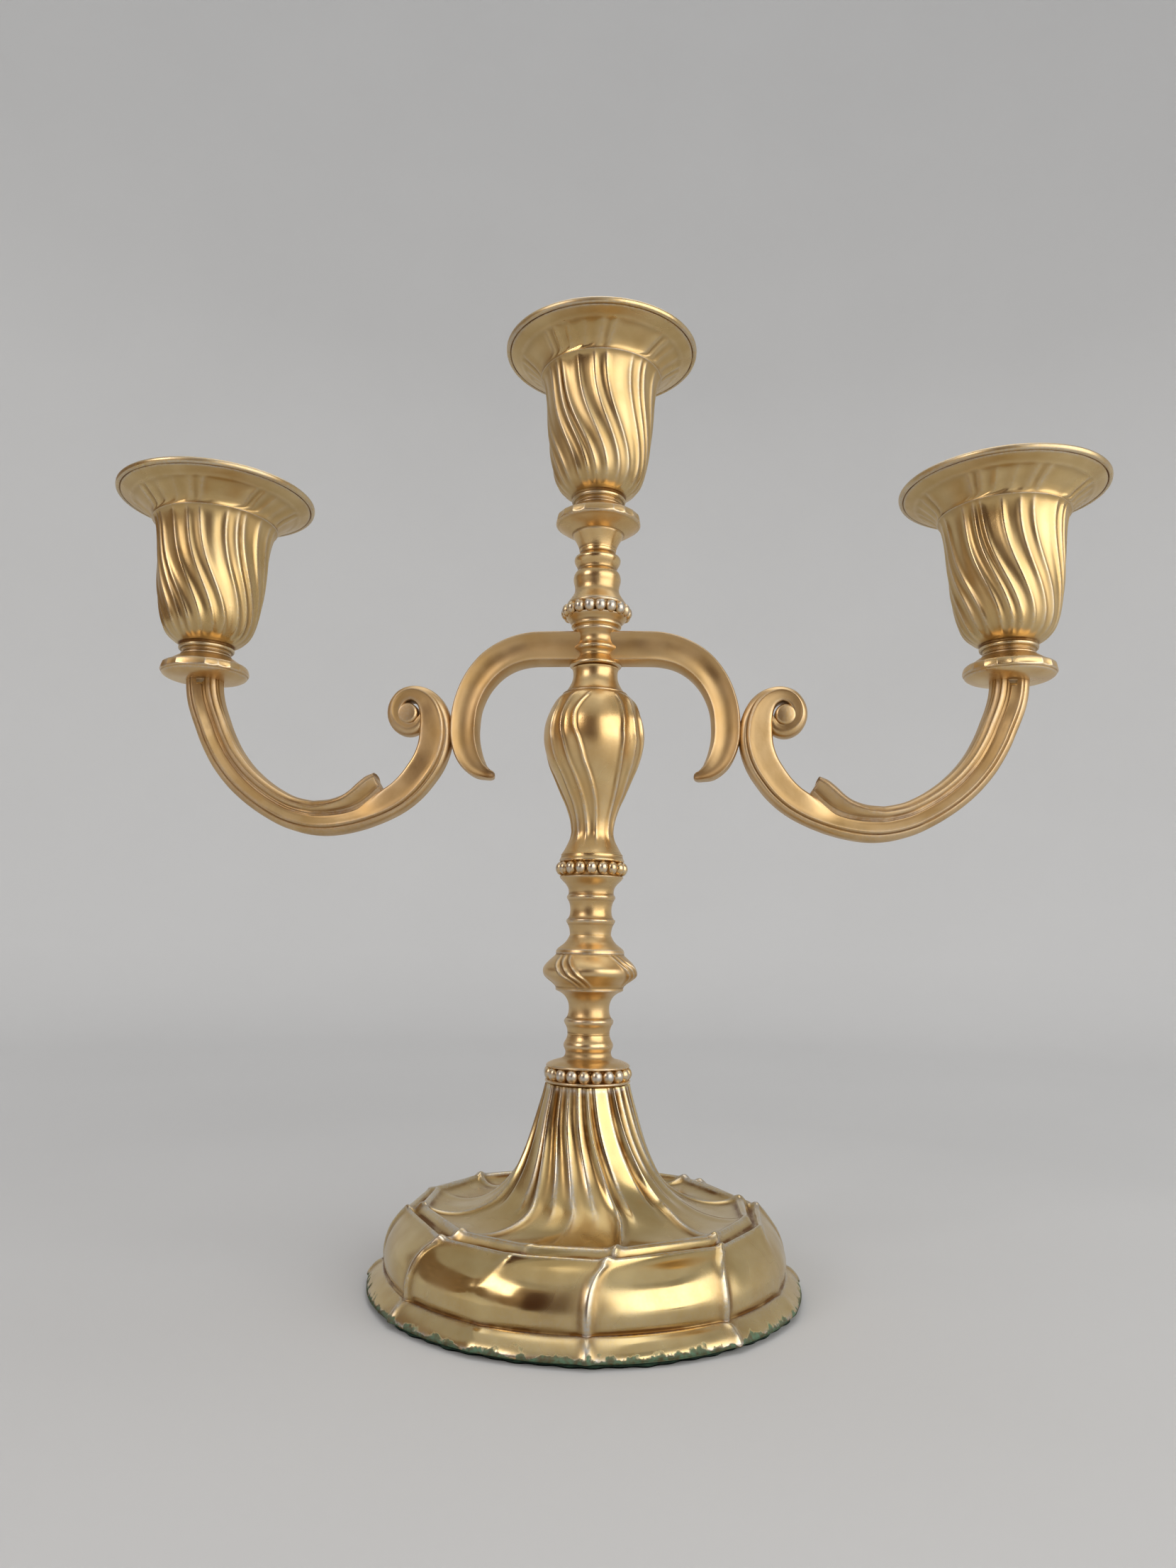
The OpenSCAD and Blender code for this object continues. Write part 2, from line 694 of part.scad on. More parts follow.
// A row of a cup is [radius, height, flute depth, turn]. A raised crease parts the bowl from the flare.
crease_h = cup_h - flare_h;
crease_cup_r = cup_body_r + 1.4;
crease_turn = 9;
bowl_h = 0.09 * cup_h;
flare_lean = 7;
function bowl_turn(z) = cup_twist * (1 - cos(180 * pow(max(0, min(1, (crease_h - z) / (crease_h - bowl_h))), 1.4))) / 2;
bowl_rows = [
  for (p = [
    [cup_neck_r, 0, 0],
    [cup_neck_r, 0.6 * cup_neck_h, 0],
    [cup_neck_r + 0.3, cup_neck_h, 0],
    [cup_neck_r + 2.2, 0.075 * cup_h, 0],
    [cup_body_r - 4.3, 0.115 * cup_h, 0.5],
    [cup_body_r - 2.8, 0.19 * cup_h, 0.9],
    [cup_body_r - 1.7, 0.29 * cup_h, 1],
    [cup_body_r - 0.8, 0.44 * cup_h, 1],
    [cup_body_r - 0.2, 0.63 * cup_h, 1],
    [cup_body_r + 0.4, crease_h - 3.6, 0.8],
    [cup_body_r + 1, crease_h - 0.8, 0.4]
  ])
    [p[0], p[1], p[2] * cup_flute_depth, crease_turn + bowl_turn(p[1])]
];
// The flare's points are [share of its width, share of its height, share of the flute depth].
flare_rows = [
  for (p = [
    [0, 0, 0.2], [0.07, 0.16, 0.7], [0.25, 0.34, 0.7], [0.47, 0.56, 0.5], [0.57, 0.65, 0.1],
    [0.72, 0.78, 0], [0.93, 0.94, 0], [1, 0.97, 0], [0.99, 1, 0]
  ])
    [
      crease_cup_r + p[0] * (lip_r - crease_cup_r),
      crease_h + p[1] * flare_h,
      p[2] * cup_flute_depth,
      crease_turn + flare_lean * min(1, p[1])
    ]
];
socket_floor = cup_h - socket_depth;

dish_depth = 6;
lip_w = 1;

module candle_cup(x, z) {
  color(gold) translate([x, 0, z]) difference() {
    grooved(concat(bowl_rows, flare_rows), flute_spokes(cup_flutes));
    // Dish inside the lip, the candle socket and the threaded hole for the stud.
    turned([
      [0, cup_h + 1],
      [lip_r - lip_w, cup_h + 1],
      [lip_r - lip_w, cup_h],
      [lip_r - lip_w - 2, cup_h - 0.12 * flare_h],
      [cup_body_r + 2.4, cup_h - dish_depth + 1.8],
      [socket_r, cup_h - dish_depth],
      [0, cup_h - dish_depth]
    ]);
    translate([0, 0, socket_floor]) cylinder(r = socket_r, h = socket_depth);
    translate([0, 0, -1]) cylinder(r = rod_r + stud_gap, h = stud_in_cup + 1.5);
  }
}

foot_shell();
foot_weight();
base_plate();
baize_pad();
tie_rod();
rod_washer();
rod_nut();
lower_bead_collar();
knop();
middle_bead_collar();
baluster();
arm_hub();
upper_stem();
inner_scroll(-1);  // left_inner_scroll
inner_scroll(1);  // right_inner_scroll
outer_scroll(-1);  // left_outer_scroll
outer_scroll(1);  // right_outer_scroll
side_drip_disc(-1);  // left_drip_disc
centre_drip_disc();
side_drip_disc(1);  // right_drip_disc
stud(-1);  // left_stud
stud(1);  // right_stud
candle_cup(-arm_reach, z_side_cup);  // left_candle_cup
candle_cup(0, z_centre_cup);  // centre_candle_cup
candle_cup(arm_reach, z_side_cup);  // right_candle_cup
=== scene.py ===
"""Three-light table candelabra in gilt brass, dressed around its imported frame.

Lengths in the outlines are millimetres and are turned into metres where a mesh is made. An angle around
the stem is 0 at the front (-Y) and grows towards the right arm (+X).
"""

from math import cos, pi, radians, sin

import bpy
import numpy as np
from mathutils import Matrix, Vector


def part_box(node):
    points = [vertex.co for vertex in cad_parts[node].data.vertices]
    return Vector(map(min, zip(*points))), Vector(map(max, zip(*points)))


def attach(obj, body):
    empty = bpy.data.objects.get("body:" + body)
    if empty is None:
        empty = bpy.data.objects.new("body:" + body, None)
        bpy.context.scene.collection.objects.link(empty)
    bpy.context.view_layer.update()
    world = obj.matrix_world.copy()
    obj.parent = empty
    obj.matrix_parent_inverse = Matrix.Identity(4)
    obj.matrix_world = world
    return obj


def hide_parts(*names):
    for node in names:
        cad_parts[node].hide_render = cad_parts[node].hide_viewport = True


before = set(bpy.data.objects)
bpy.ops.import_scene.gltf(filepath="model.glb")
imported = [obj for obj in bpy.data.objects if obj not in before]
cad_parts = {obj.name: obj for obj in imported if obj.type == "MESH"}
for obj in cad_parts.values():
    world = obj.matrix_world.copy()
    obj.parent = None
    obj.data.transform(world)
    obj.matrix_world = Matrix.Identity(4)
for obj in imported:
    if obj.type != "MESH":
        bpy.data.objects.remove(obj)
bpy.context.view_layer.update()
scene = bpy.context.scene
scene.view_settings.view_transform = "Standard"
mm = 0.001


# ---- Camera ----
# A phone held close in front of the knop, looking slightly up and a little from the right.
bpy.ops.object.camera_add(location=(0, 0, 0))
camera = bpy.context.object
camera.data.sensor_width = 36
camera.data.lens = 23.8
camera.data.clip_start = 0.02
camera.matrix_world = (
    Matrix.Translation(Vector((19.6, -273.7, 85.2)) * mm)
    @ Matrix.Rotation(radians(4.393), 4, "Z")
    @ Matrix.Rotation(radians(8.467), 4, "X")
    @ Matrix.Rotation(radians(-1.151), 4, "Y")
    @ Matrix.Rotation(radians(90), 4, "X")
)
scene.camera = camera


# ---- Studio ----
# A pale paper sweep on the table that rises all around at a distance, a big window-like lamp at the
# front right, weak ones on the left and above, and warm brown cards for the metal to mirror.
def smooth_line(points, steps):
    """Catmull-Rom curve through points of any dimension, with so many steps in each span."""
    p = np.asarray(points, float)
    padded = np.vstack([2 * p[0] - p[1], p, 2 * p[-1] - p[-2]])
    t = (np.arange(steps) / steps)[:, None]
    spans = []
    for a, b, c, d in zip(padded, padded[1:], padded[2:], padded[3:]):
        spans.append(
            0.5 * (2 * b + (c - a) * t + (2 * a - 5 * b + 4 * c - d) * t**2 + (3 * b - a - 3 * c + d) * t**3)
        )
    return np.vstack(spans + [p[-1:]])


def turned(name, outline, columns):
    """Draws an outline of [radius, height] vertex by vertex and turns it about the Z axis.
    The attribute "station" keeps the number of the outline's point that each vertex came from."""
    bpy.ops.object.select_all(action="DESELECT")
    bpy.ops.mesh.primitive_plane_add(size=mm)
    piece = bpy.context.object
    piece.name = piece.data.name = name
    bpy.ops.object.mode_set(mode="EDIT")
    bpy.ops.mesh.select_mode(type="VERT")
    bpy.ops.mesh.select_all(action="SELECT")
    bpy.ops.mesh.merge(type="CENTER")
    points = [Vector((row[0], 0, row[1])) * mm for row in outline]
    bpy.ops.transform.translate(value=points[0])
    for here, there in zip(points, points[1:]):
        bpy.ops.mesh.extrude_vertices_move(TRANSFORM_OT_translate={"value": there - here})
    bpy.ops.object.mode_set(mode="OBJECT")
    station = piece.data.attributes.new("station", "FLOAT", "POINT")
    station.data.foreach_set("value", np.arange(len(points), dtype=np.float32))
    bpy.ops.object.mode_set(mode="EDIT")
    bpy.ops.mesh.select_all(action="SELECT")
    bpy.ops.mesh.spin(steps=columns, angle=2 * pi, center=(0, 0, 0), axis=(0, 0, 1))
    bpy.ops.mesh.select_all(action="SELECT")
    bpy.ops.mesh.remove_doubles(threshold=mm / 1000)
    bpy.ops.mesh.normals_make_consistent(inside=False)
    bpy.ops.object.mode_set(mode="OBJECT")
    bpy.ops.object.shade_smooth_by_angle(angle=radians(65))
    return piece


def plain_finish(name, colour, roughness, mottle_scale, mottle_share):
    """Finish whose colour varies by a share around its mean, in that many patches to the metre. Its
    nodes "place" and "mottle" carry the object's own coordinates and the varied colour."""
    material = bpy.data.materials.new(name)
    material.use_nodes = True
    nodes, links = material.node_tree.nodes, material.node_tree.links
    shader = nodes["Principled BSDF"]
    shader.inputs["Roughness"].default_value = roughness
    place = nodes.new("ShaderNodeTexCoord")
    noise = nodes.new("ShaderNodeTexNoise")
    noise.inputs["Scale"].default_value = mottle_scale
    noise.inputs["Detail"].default_value = 4
    ramp = nodes.new("ShaderNodeValToRGB")
    place.name, ramp.name = "place", "mottle"
    ramp.color_ramp.elements[0].position = 0.3
    ramp.color_ramp.elements[1].position = 0.7
    ramp.color_ramp.elements[0].color = [c * (1 - mottle_share) for c in colour] + [1]
    ramp.color_ramp.elements[1].color = [min(1, c * (1 + mottle_share)) for c in colour] + [1]
    links.new(place.outputs["Object"], noise.inputs["Vector"])
    links.new(noise.outputs["Fac"], ramp.inputs["Fac"])
    links.new(ramp.outputs["Color"], shader.inputs["Base Color"])
    return material


floor_r = 620
sweep_r = 420
wall_h = 1500
sweep_outline = [[0, 0], [floor_r / 2, 0], [floor_r, 0]]
for degrees in range(6, 91, 6):
    up_sweep = radians(degrees)
    sweep_outline.append([floor_r + sweep_r * sin(up_sweep), sweep_r * (1 - cos(up_sweep))])
sweep_outline.append([floor_r + sweep_r, wall_h])
sweep = turned("paper_sweep", sweep_outline, 96)
paper = plain_finish("pale_paper", [0.74, 0.74, 0.74], 0.95, 6, 0.01)
# The paper's colour is darker on the floor around the piece than on the wall behind it: painted shade that
# evens out the lamps' brighter light on the floor there.
painted_shade_within, painted_shade_ends_beyond = 0.25, 0.85
nodes, links = paper.node_tree.nodes, paper.node_tree.links
far = nodes.new("ShaderNodeVectorMath")
far.operation = "LENGTH"
fade = nodes.new("ShaderNodeMapRange")
fade.inputs["From Min"].default_value = painted_shade_within
fade.inputs["From Max"].default_value = painted_shade_ends_beyond
fade.inputs["To Min"].default_value = 0.78
tint = nodes.new("ShaderNodeVectorMath")
tint.operation = "SCALE"
links.new(nodes["place"].outputs["Object"], far.inputs[0])
links.new(far.outputs["Value"], fade.inputs["Value"])
links.new(fade.outputs["Result"], tint.inputs["Scale"])
links.new(nodes["mottle"].outputs["Color"], tint.inputs[0])
links.new(tint.outputs["Vector"], nodes["Principled BSDF"].inputs["Base Color"])
sweep.data.materials.append(paper)


def mirrored_card(name, colour, place, turn, width, height):
    """Upright card that only mirror-like surfaces see."""
    bpy.ops.mesh.primitive_plane_add(size=1, location=place, rotation=(radians(90), 0, radians(turn)))
    card = bpy.context.object
    card.name = name
    card.scale = (width, height, 1)
    card.visible_camera = False
    card.visible_diffuse = False
    card.visible_shadow = False
    card.data.materials.append(plain_finish(name + "_paper", colour, 0.9, 9, 0.25))


mirrored_card("dark_card", [0.1, 0.045, 0.03], place=(-0.09, -0.6, 0.2), turn=-8, width=0.4, height=0.55)
mirrored_card("front_card", [0.36, 0.26, 0.18], place=(-0.34, -0.75, 0.35), turn=-20, width=1.2, height=0.8)
mirrored_card("left_card", [0.33, 0.24, 0.17], place=(-0.85, -0.05, 0.3), turn=-85, width=1.0, height=0.66)
stem_middle = (0, 0, 0.13)


def soft_lamp(name, place, width, height, watts, colour):
    """Rectangular soft lamp that looks from its place at the middle of the stem."""
    bpy.ops.object.light_add(type="AREA", location=place)
    lamp = bpy.context.object
    lamp.name = name
    lamp.data.shape = "RECTANGLE"
    lamp.data.size = width
    lamp.data.size_y = height
    lamp.data.energy = watts
    lamp.data.color = colour
    lamp.rotation_euler = (Vector(stem_middle) - Vector(place)).to_track_quat("-Z", "Y").to_euler()


soft_lamp("window_lamp", (0.55, -0.42, 0.34), width=0.9, height=0.56, watts=3.3, colour=(1, 0.98, 0.94))
soft_lamp("left_lamp", (-0.56, -0.54, 0.52), width=0.3, height=0.34, watts=1.5, colour=(1, 0.95, 0.93))
soft_lamp("top_lamp", (0.05, 0.1, 0.95), width=0.7, height=0.7, watts=1.5, colour=(1, 1, 1))
scene.world = bpy.data.worlds.new("studio_air")
scene.world.use_nodes = True
air = scene.world.node_tree.nodes["Background"]
air.inputs["Color"].default_value = (0.8, 0.8, 0.8, 1)
air.inputs["Strength"].default_value = 0.72


# ---- Candle cups ----
# Three cast cups, each with 24 flutes that swirl down the bowl and lean the other way over the flare.
# They are polished and gilt, worn to pale metal along the lip and the crease, and screw on a stud.
def chase(piece, rows, strike):
    """Moves each vertex of a turned piece. strike takes the outline's rows of all vertices and their
    angles in degrees, and gives their radius, angle and height."""
    mesh = piece.data
    count = len(mesh.vertices)
    place = np.empty(3 * count)
    mesh.vertices.foreach_get("co", place)
    place.shape = (-1, 3)
    station = np.empty(count, np.float32)
    mesh.attributes["station"].data.foreach_get("value", station)
    row = np.asarray(rows)[np.clip(np.rint(station), 0, len(rows) - 1).astype(int)]
    angle = np.degrees(np.arctan2(place[:, 0], -place[:, 1]))
    radius, angle, height = strike(row.T, angle)
    turn = np.radians(angle)
    place = np.stack([radius * np.sin(turn), -radius * np.cos(turn), height], 1) * mm
    mesh.vertices.foreach_set("co", place.ravel())
    mesh.update()


def mark_wear(piece, sharp, calm_ends=0):
    """Stores how far each point lies on a sharp edge ("edge") or in a sharp hollow ("hollow"), from 0
    to 1. sharp is the bend, in radians per mm, that counts in full. Within calm_ends mm of its top and
    bottom the piece stays unworn, where the next piece adjoins it flush."""
    mesh = piece.data
    count = len(mesh.vertices)
    place, normal = np.empty(3 * count), np.empty(3 * count)
    mesh.vertices.foreach_get("co", place)
    mesh.vertex_normals.foreach_get("vector", normal)
    place, normal = place.reshape(-1, 3) / mm, normal.reshape(-1, 3)
    ends = np.empty(2 * len(mesh.edges), np.int32)
    mesh.edges.foreach_get("vertices", ends)
    a, b = ends.reshape(-1, 2).T
    run = place[b] - place[a]
    length = np.maximum(np.linalg.norm(run, axis=1), 1e-6)
    bend = np.einsum("ij,ij->i", normal[b] - normal[a], run) / length**2
    most, least = np.zeros(count), np.zeros(count)
    for end in (a, b):
        np.maximum.at(most, end, bend)
        np.minimum.at(least, end, bend)
    neighbours = np.bincount(ends, minlength=count)
    for value in (most, least):
        around = np.bincount(a, value[b], count) + np.bincount(b, value[a], count)
        value += around / np.maximum(neighbours, 1)
        value /= 2
    height = place[:, 2]
    inner = (height > height.min() + calm_ends) & (height < height.max() - calm_ends)
    for name, value in (("edge", most / sharp * inner), ("hollow", -least / sharp * inner)):
        attribute = mesh.attributes.new(name, "FLOAT", "POINT")
        attribute.data.foreach_set("value", np.clip(value, 0, 1).astype(np.float32))


# What age adds to the gilding: colours, how much they hide of it and dull it, and the least height in mm
# of the verdigris.
# The brown that goes into creases and flutes is painted shade there, mixed with some grime.
grime_and_shade_brown = (0.2, 0.09, 0.02)
grime_dulls = 0.25
worn_silver = (0.6, 0.57, 0.52)
crust_brown = (0.07, 0.06, 0.025)
crust_green = (0.07, 0.16, 0.095)
crust_cover = 0.92
crust_dulls = 0.7
crust_least_h = 1.3


def gilt_brass(name, tone, deep_tone, roughness, grain, wear, grime_and_shade_share, smudge, crust_h=0):
    """Gilt brass: mottled tone, brown in the hollows that is partly grime and partly painted shade, pale
    silvery metal on worn edges, smudges that add to the roughness and a fine grain of the given depth in
    mm. crust_h is by how many mm the verdigris at the table wanders up in places."""
    material = bpy.data.materials.new(name)
    material.use_nodes = True
    nodes, links = material.node_tree.nodes, material.node_tree.links
    shader = nodes["Principled BSDF"]
    place = nodes.new("ShaderNodeTexCoord")

    def noise(scale, detail, low, high):
        """Noise with that many cells to the metre, spread to run from 0 at low to 1 at high."""
        cloud = nodes.new("ShaderNodeTexNoise")
        cloud.inputs["Scale"].default_value = scale
        cloud.inputs["Detail"].default_value = detail
        spread = nodes.new("ShaderNodeMapRange")
        spread.inputs["From Min"].default_value = low
        spread.inputs["From Max"].default_value = high
        links.new(place.outputs["Object"], cloud.inputs["Vector"])
        links.new(cloud.outputs["Fac"], spread.inputs["Value"])
        return spread.outputs["Result"]

    def maths(operation, *values):
        """Result of a sum on numbers and sockets."""
        node = nodes.new("ShaderNodeMath")
        node.operation = operation
        for socket, value in zip(node.inputs, values):
            if isinstance(value, (int, float)):
                socket.default_value = value
            else:
                links.new(value, socket)
        return node.outputs[0]

    def mixed(share, one, two):
        """Colour between one and two, each a colour or a socket."""
        node = nodes.new("ShaderNodeMix")
        node.data_type = "RGBA"
        links.new(share, node.inputs["Factor"])
        for socket, value in ((node.inputs["A"], one), (node.inputs["B"], two)):
            if isinstance(value, (list, tuple)):
                socket.default_value = (*value, 1)
            else:
                links.new(value, socket)
        return node.outputs["Result"]

    def attribute(label):
        """Number that the mesh stores under that name."""
        node = nodes.new("ShaderNodeAttribute")
        node.attribute_name = label
        return node.outputs["Fac"]

    mottle = noise(120, 5, 0.35, 0.65)
    speckle = noise(1400, 3, 0.4, 0.62)
    patch = noise(70, 2, 0.36, 0.6)
    worn = maths("MULTIPLY", maths("MULTIPLY", attribute("edge"), wear), maths("ADD", speckle, patch))
    # Painted shade in the hollows, mixed with brown grime there.
    grime_and_shade = maths("MULTIPLY", maths("MULTIPLY", attribute("hollow"), grime_and_shade_share), maths("ADD", mottle, 0.35))
    colour = mixed(mottle, deep_tone, tone)
    colour = mixed(grime_and_shade, colour, grime_and_shade_brown)
    colour = mixed(worn, colour, worn_silver)
    rough = maths("MULTIPLY_ADD", patch, smudge, roughness)
    rough = maths("MULTIPLY_ADD", grime_and_shade, grime_dulls, rough)
    if crust_h:
        axes = nodes.new("ShaderNodeSeparateXYZ")
        links.new(place.outputs["Object"], axes.inputs["Vector"])
        ragged = maths("MULTIPLY_ADD", noise(380, 6, 0.32, 0.72), crust_h * mm, crust_least_h * mm)
        near_table = nodes.new("ShaderNodeMapRange")
        near_table.inputs["To Min"].default_value = crust_cover
        near_table.inputs["To Max"].default_value = 0
        links.new(axes.outputs["Z"], near_table.inputs["Value"])
        links.new(maths("MULTIPLY", ragged, 0.8), near_table.inputs["From Min"])
        links.new(ragged, near_table.inputs["From Max"])
        green = near_table.outputs["Result"]
        crust = mixed(noise(900, 3, 0.35, 0.65), crust_brown, crust_green)
        colour = mixed(green, colour, crust)
        rough = maths("MULTIPLY_ADD", green, crust_dulls, rough)
        links.new(maths("SUBTRACT", 1, green), shader.inputs["Metallic"])
    else:
        shader.inputs["Metallic"].default_value = 1
    links.new(colour, shader.inputs["Base Color"])
    links.new(rough, shader.inputs["Roughness"])
    bump = nodes.new("ShaderNodeBump")
    bump.inputs["Strength"].default_value = 1
    bump.inputs["Distance"].default_value = grain * mm
    links.new(maths("ADD", noise(1500, 2, 0.3, 0.7), noise(300, 2, 0.3, 0.7)), bump.inputs["Height"])
    links.new(bump.outputs["Normal"], shader.inputs["Normal"])
    return material


def place_copy(model, name, x, z):
    """Copy of a piece, with a mesh of its own, moved by x and z in mm."""
    copy = model.copy()
    copy.data = model.data.copy()
    copy.name = copy.data.name = name
    copy.data.transform(Matrix.Translation(Vector((x, 0, z)) * mm))
    scene.collection.objects.link(copy)
    return copy


def drop(piece):
    """Removes a model that was only needed for its copies."""
    bpy.data.objects.remove(piece)


def quartered(angle, even, real):
    """Spreads evenly spaced angles over the uneven panels of each quarter turn. even and real are the
    panels' edges in degrees, and real may have a column for each vertex. Columns crowd at the edges.
    Returns the real angle, the panel's number, the share across it and the panel's width."""
    quarter = np.floor(angle / 90 + 1e-5)
    local = angle - 90 * quarter
    even, real = np.asarray(even, float), np.asarray(real, float)
    panel = np.clip(np.searchsorted(even, local + 1e-3, side="right") - 1, 0, len(even) - 2)
    share = np.clip((local - even[panel]) / (even[panel + 1] - even[panel]), 0, 1)
    crowding = 0.6
    share = share - crowding * np.sin(2 * pi * share) / (2 * pi)
    if real.ndim == 1:
        start, stop = real[panel], real[panel + 1]
    else:
        start, stop = real[panel, np.arange(len(angle))], real[panel + 1, np.arange(len(angle))]
    return start + share * (stop - start) + 90 * quarter, panel, share, stop - start


def crests(share, width, radius, ridge_mm, left=1, right=1):
    """Height from 0 to 1 of the rounded ridges on both edges of a panel. ridge_mm is the distance at
    which they have nearly run out, and left and right are their heights."""
    spread = np.degrees(ridge_mm / np.maximum(radius, 1))
    on_left = left * np.exp(-((share * width / spread) ** 2))
    on_right = right * np.exp(-(((1 - share) * width / spread) ** 2))
    return np.maximum(on_left, on_right)


# Edges of the six flutes in a quarter of the cup: a wide one first. They differ at the crease, at the
# foot of the bowl and on the flare.
flutes_even = [0, 15, 30, 45, 60, 75, 90]
flutes_crease = np.array([0, 26, 36.5, 43.5, 62, 78, 90])
flutes_foot = np.array([2, 20, 34, 46, 61, 77, 92])
flutes_flare = np.array([1, 37, 45, 56, 69, 82, 91])
flare_ridges = np.array([1, 1, 1, 0.45, 0.45, 1, 1])
# Angles in degrees: the first ridge at the crease, the swirl of the bowl, and the lean over the flare.
ridge_at_crease = 9
bowl_turn = 35
flare_lean = 7
# The flare's flutes are deeper than the bowl's and have wider ridges.
flute_depth = 0.5
flare_deepens_by = 0.8
ridge_w = 0.75
flare_ridge_widens_by = 0.6
# Heights in mm of the crease and the bottom of the bowl. Over the crease the flare's own flutes take
# over within flare_blend, the lean is full at flare_h, and only what is outside flare_r belongs to it.
crease_h = 36.8
bowl_bottom_h = 3
flare_blend = 1.2
flare_h = 8
flare_r = 16.9
# Outline of the bowl outside as [radius, height, flute depth], from the neck up to the crease.
bowl = [
    [4.2, 0, 0], [7.0, 0, 0], [7.45, 0.4, 0], [7.45, 0.8, 0], [7.15, 1.2, 0], [7.3, 1.6, 0], [8.2, 2.0, 0.1],
    [9.7, 3.0, 0.45], [11.0, 4.3, 0.8], [12.05, 6.1, 1], [12.9, 8.7, 1], [13.7, 12.6, 1], [14.35, 17, 1],
    [14.9, 23, 1], [15.3, 29, 1], [15.75, 33, 0.9], [16.35, 35.6, 0.55], [16.8, 36.5, 0.15], [17.05, 36.8, 0],
]
# The flare's flutes stop at a soft edge under the smooth outer band. Then come a fine groove, the
# rolled lip, the shallow dish inside it and the candle socket.
flare = [
    [17.0, 37.1, 0], [17.5, 37.9, 0.55], [18.9, 39.3, 1], [20.7, 40.7, 1], [22.1, 41.8, 0.8],
    [22.7, 42.2, 0.1], [23.5, 42.7, 0], [24.8, 43.3, 0], [25.6, 43.7, 0],
]
lip = [
    [25.75, 43.95, 0], [26.2, 43.7, 0], [26.7, 43.85, 0], [26.94, 44.35, 0], [26.9, 45.0, 0],
    [26.2, 45.45, 0],
]
dish = [
    [25.0, 44.9, 0], [23.0, 43.9, 0], [20.0, 41.9, 0], [17.0, 40.2, 0], [13.5, 39.5, 0], [12.1, 39.3, 0],
    [11.5, 38.9, 0], [11.3, 38.3, 0], [11.3, 30, 0], [11.3, 17.5, 0], [10.9, 16.6, 0], [6, 16.5, 0],
    [0, 16.5, 0],
]
cup_rows = smooth_line(bowl + flare + lip + dish, 3)


def cup_flutes(row, angle):
    """Flutes between narrow rounded ridges, which swirl down the bowl and lean back over the flare."""
    radius, height, depth = row
    down = np.clip((crease_h - height) / (crease_h - bowl_bottom_h), 0, 1)
    up = np.clip((height - crease_h) / flare_blend, 0, 1) * (radius > flare_r)
    over = np.clip((height - crease_h) / flare_h, 0, 1)
    real = flutes_crease[:, None] + (flutes_foot - flutes_crease)[:, None] * down
    real = real + (flutes_flare - flutes_crease)[:, None] * up
    turned_by = bowl_turn * (1 - np.cos(pi * down**1.35)) / 2 + flare_lean * over
    angle, panel, share, width = quartered(angle, flutes_even, real)
    left = np.where(up > 0.5, flare_ridges[panel], 1)
    right = np.where(up > 0.5, flare_ridges[panel + 1], 1)
    trough = 1 - crests(share, width, radius, ridge_w + flare_ridge_widens_by * up, left, right)
    # The wide flute is flatter in its middle, and the others are rounder.
    trough *= np.where(panel == 0, 1 - 0.3 * np.sin(pi * share) ** 2, 0.8 + 0.2 * np.sin(pi * share))
    trough *= 1 + flare_deepens_by * up
    return radius - np.clip(depth, 0, 1) * flute_depth * trough, angle + ridge_at_crease + turned_by, height


cup_model = turned("cup_model", cup_rows, 288)
chase(cup_model, cup_rows, cup_flutes)
mark_wear(cup_model, 1.6)
# The cups take more brown in their flutes: painted shade there, partly grime.
cup_gilding = gilt_brass(
    "cup_gilding", (0.69, 0.51, 0.25), (0.58, 0.4, 0.17),
    roughness=0.25, grain=0.004, wear=0.3, grime_and_shade_share=0.9, smudge=0.15,
)
cup_model.data.materials.append(cup_gilding)
cups = {"left_candle_cup": "left_cup", "centre_candle_cup": "centre_cup", "right_candle_cup": "right_cup"}
for node, body in cups.items():
    low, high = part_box(node)
    cup = place_copy(cup_model, node + "_gilt", (low.x + high.x) / 2 / mm, low.z / mm)
    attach(cup, body)
    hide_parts(node)
drop(cup_model)


# ---- Drip discs ----
# Small turned discs under the cups. Each has a plain underside and an edge with shallow facets all round.
# The side discs are clamped between arm and cup. The centre one has a trumpet neck on the stem.
rod_bore = 3.3
# The end faces of stacked pieces stay unworn over this height, where they meet flush.
flush = 0.3
# The facets' edges in each quarter turn, in degrees: three narrow ones and a wide one.
facets_even = [0, 18, 36, 54, 90]
facets_real = np.array([0, 17, 34, 51, 90])
first_facet = 24
narrow_dent, wide_dent = 0.26, 0.3
# Heights in mm of a disc, of the neck under the centre one, and of the lower side, belly and upper side
# of the facetted edge.
disc_h, neck_h = 10, 4
edge_low, edge_belly, edge_high = 3.5, 4.5, 6.6
side_under = [[rod_bore, 0], [3.4, 1.5], [6.0, 1.5], [8.5, 1.75], [10.2, 2.2], [11.2, 2.8]]
neck_under = [
    [rod_bore, 0], [4.95, 0], [5.1, 0.6], [5.45, 1.6], [5.95, 2.7], [6.45, 3.6], [6.85, 4.3], [7.0, 4.7],
    [7.35, 4.9], [8.8, 5.55], [10.1, 6.35], [11.0, 7.0],
]
disc_edge = [[11.5, 3.3], [11.85, 3.8], [11.8, 4.5], [11.6, 5.3], [11.4, 5.65], [11.1, 5.8]]
disc_top = [
    [10.4, 6.1], [9.4, 6.7], [8.6, 7.25], [8.1, 7.6], [7.7, 7.75], [7.2, 8.0], [6.9, 8.35], [6.9, 8.6],
    [6.7, 8.85], [6.3, 9.05], [6.2, 9.35], [6.4, 9.6], [6.3, 9.85], [6.1, disc_h], [rod_bore, disc_h],
]


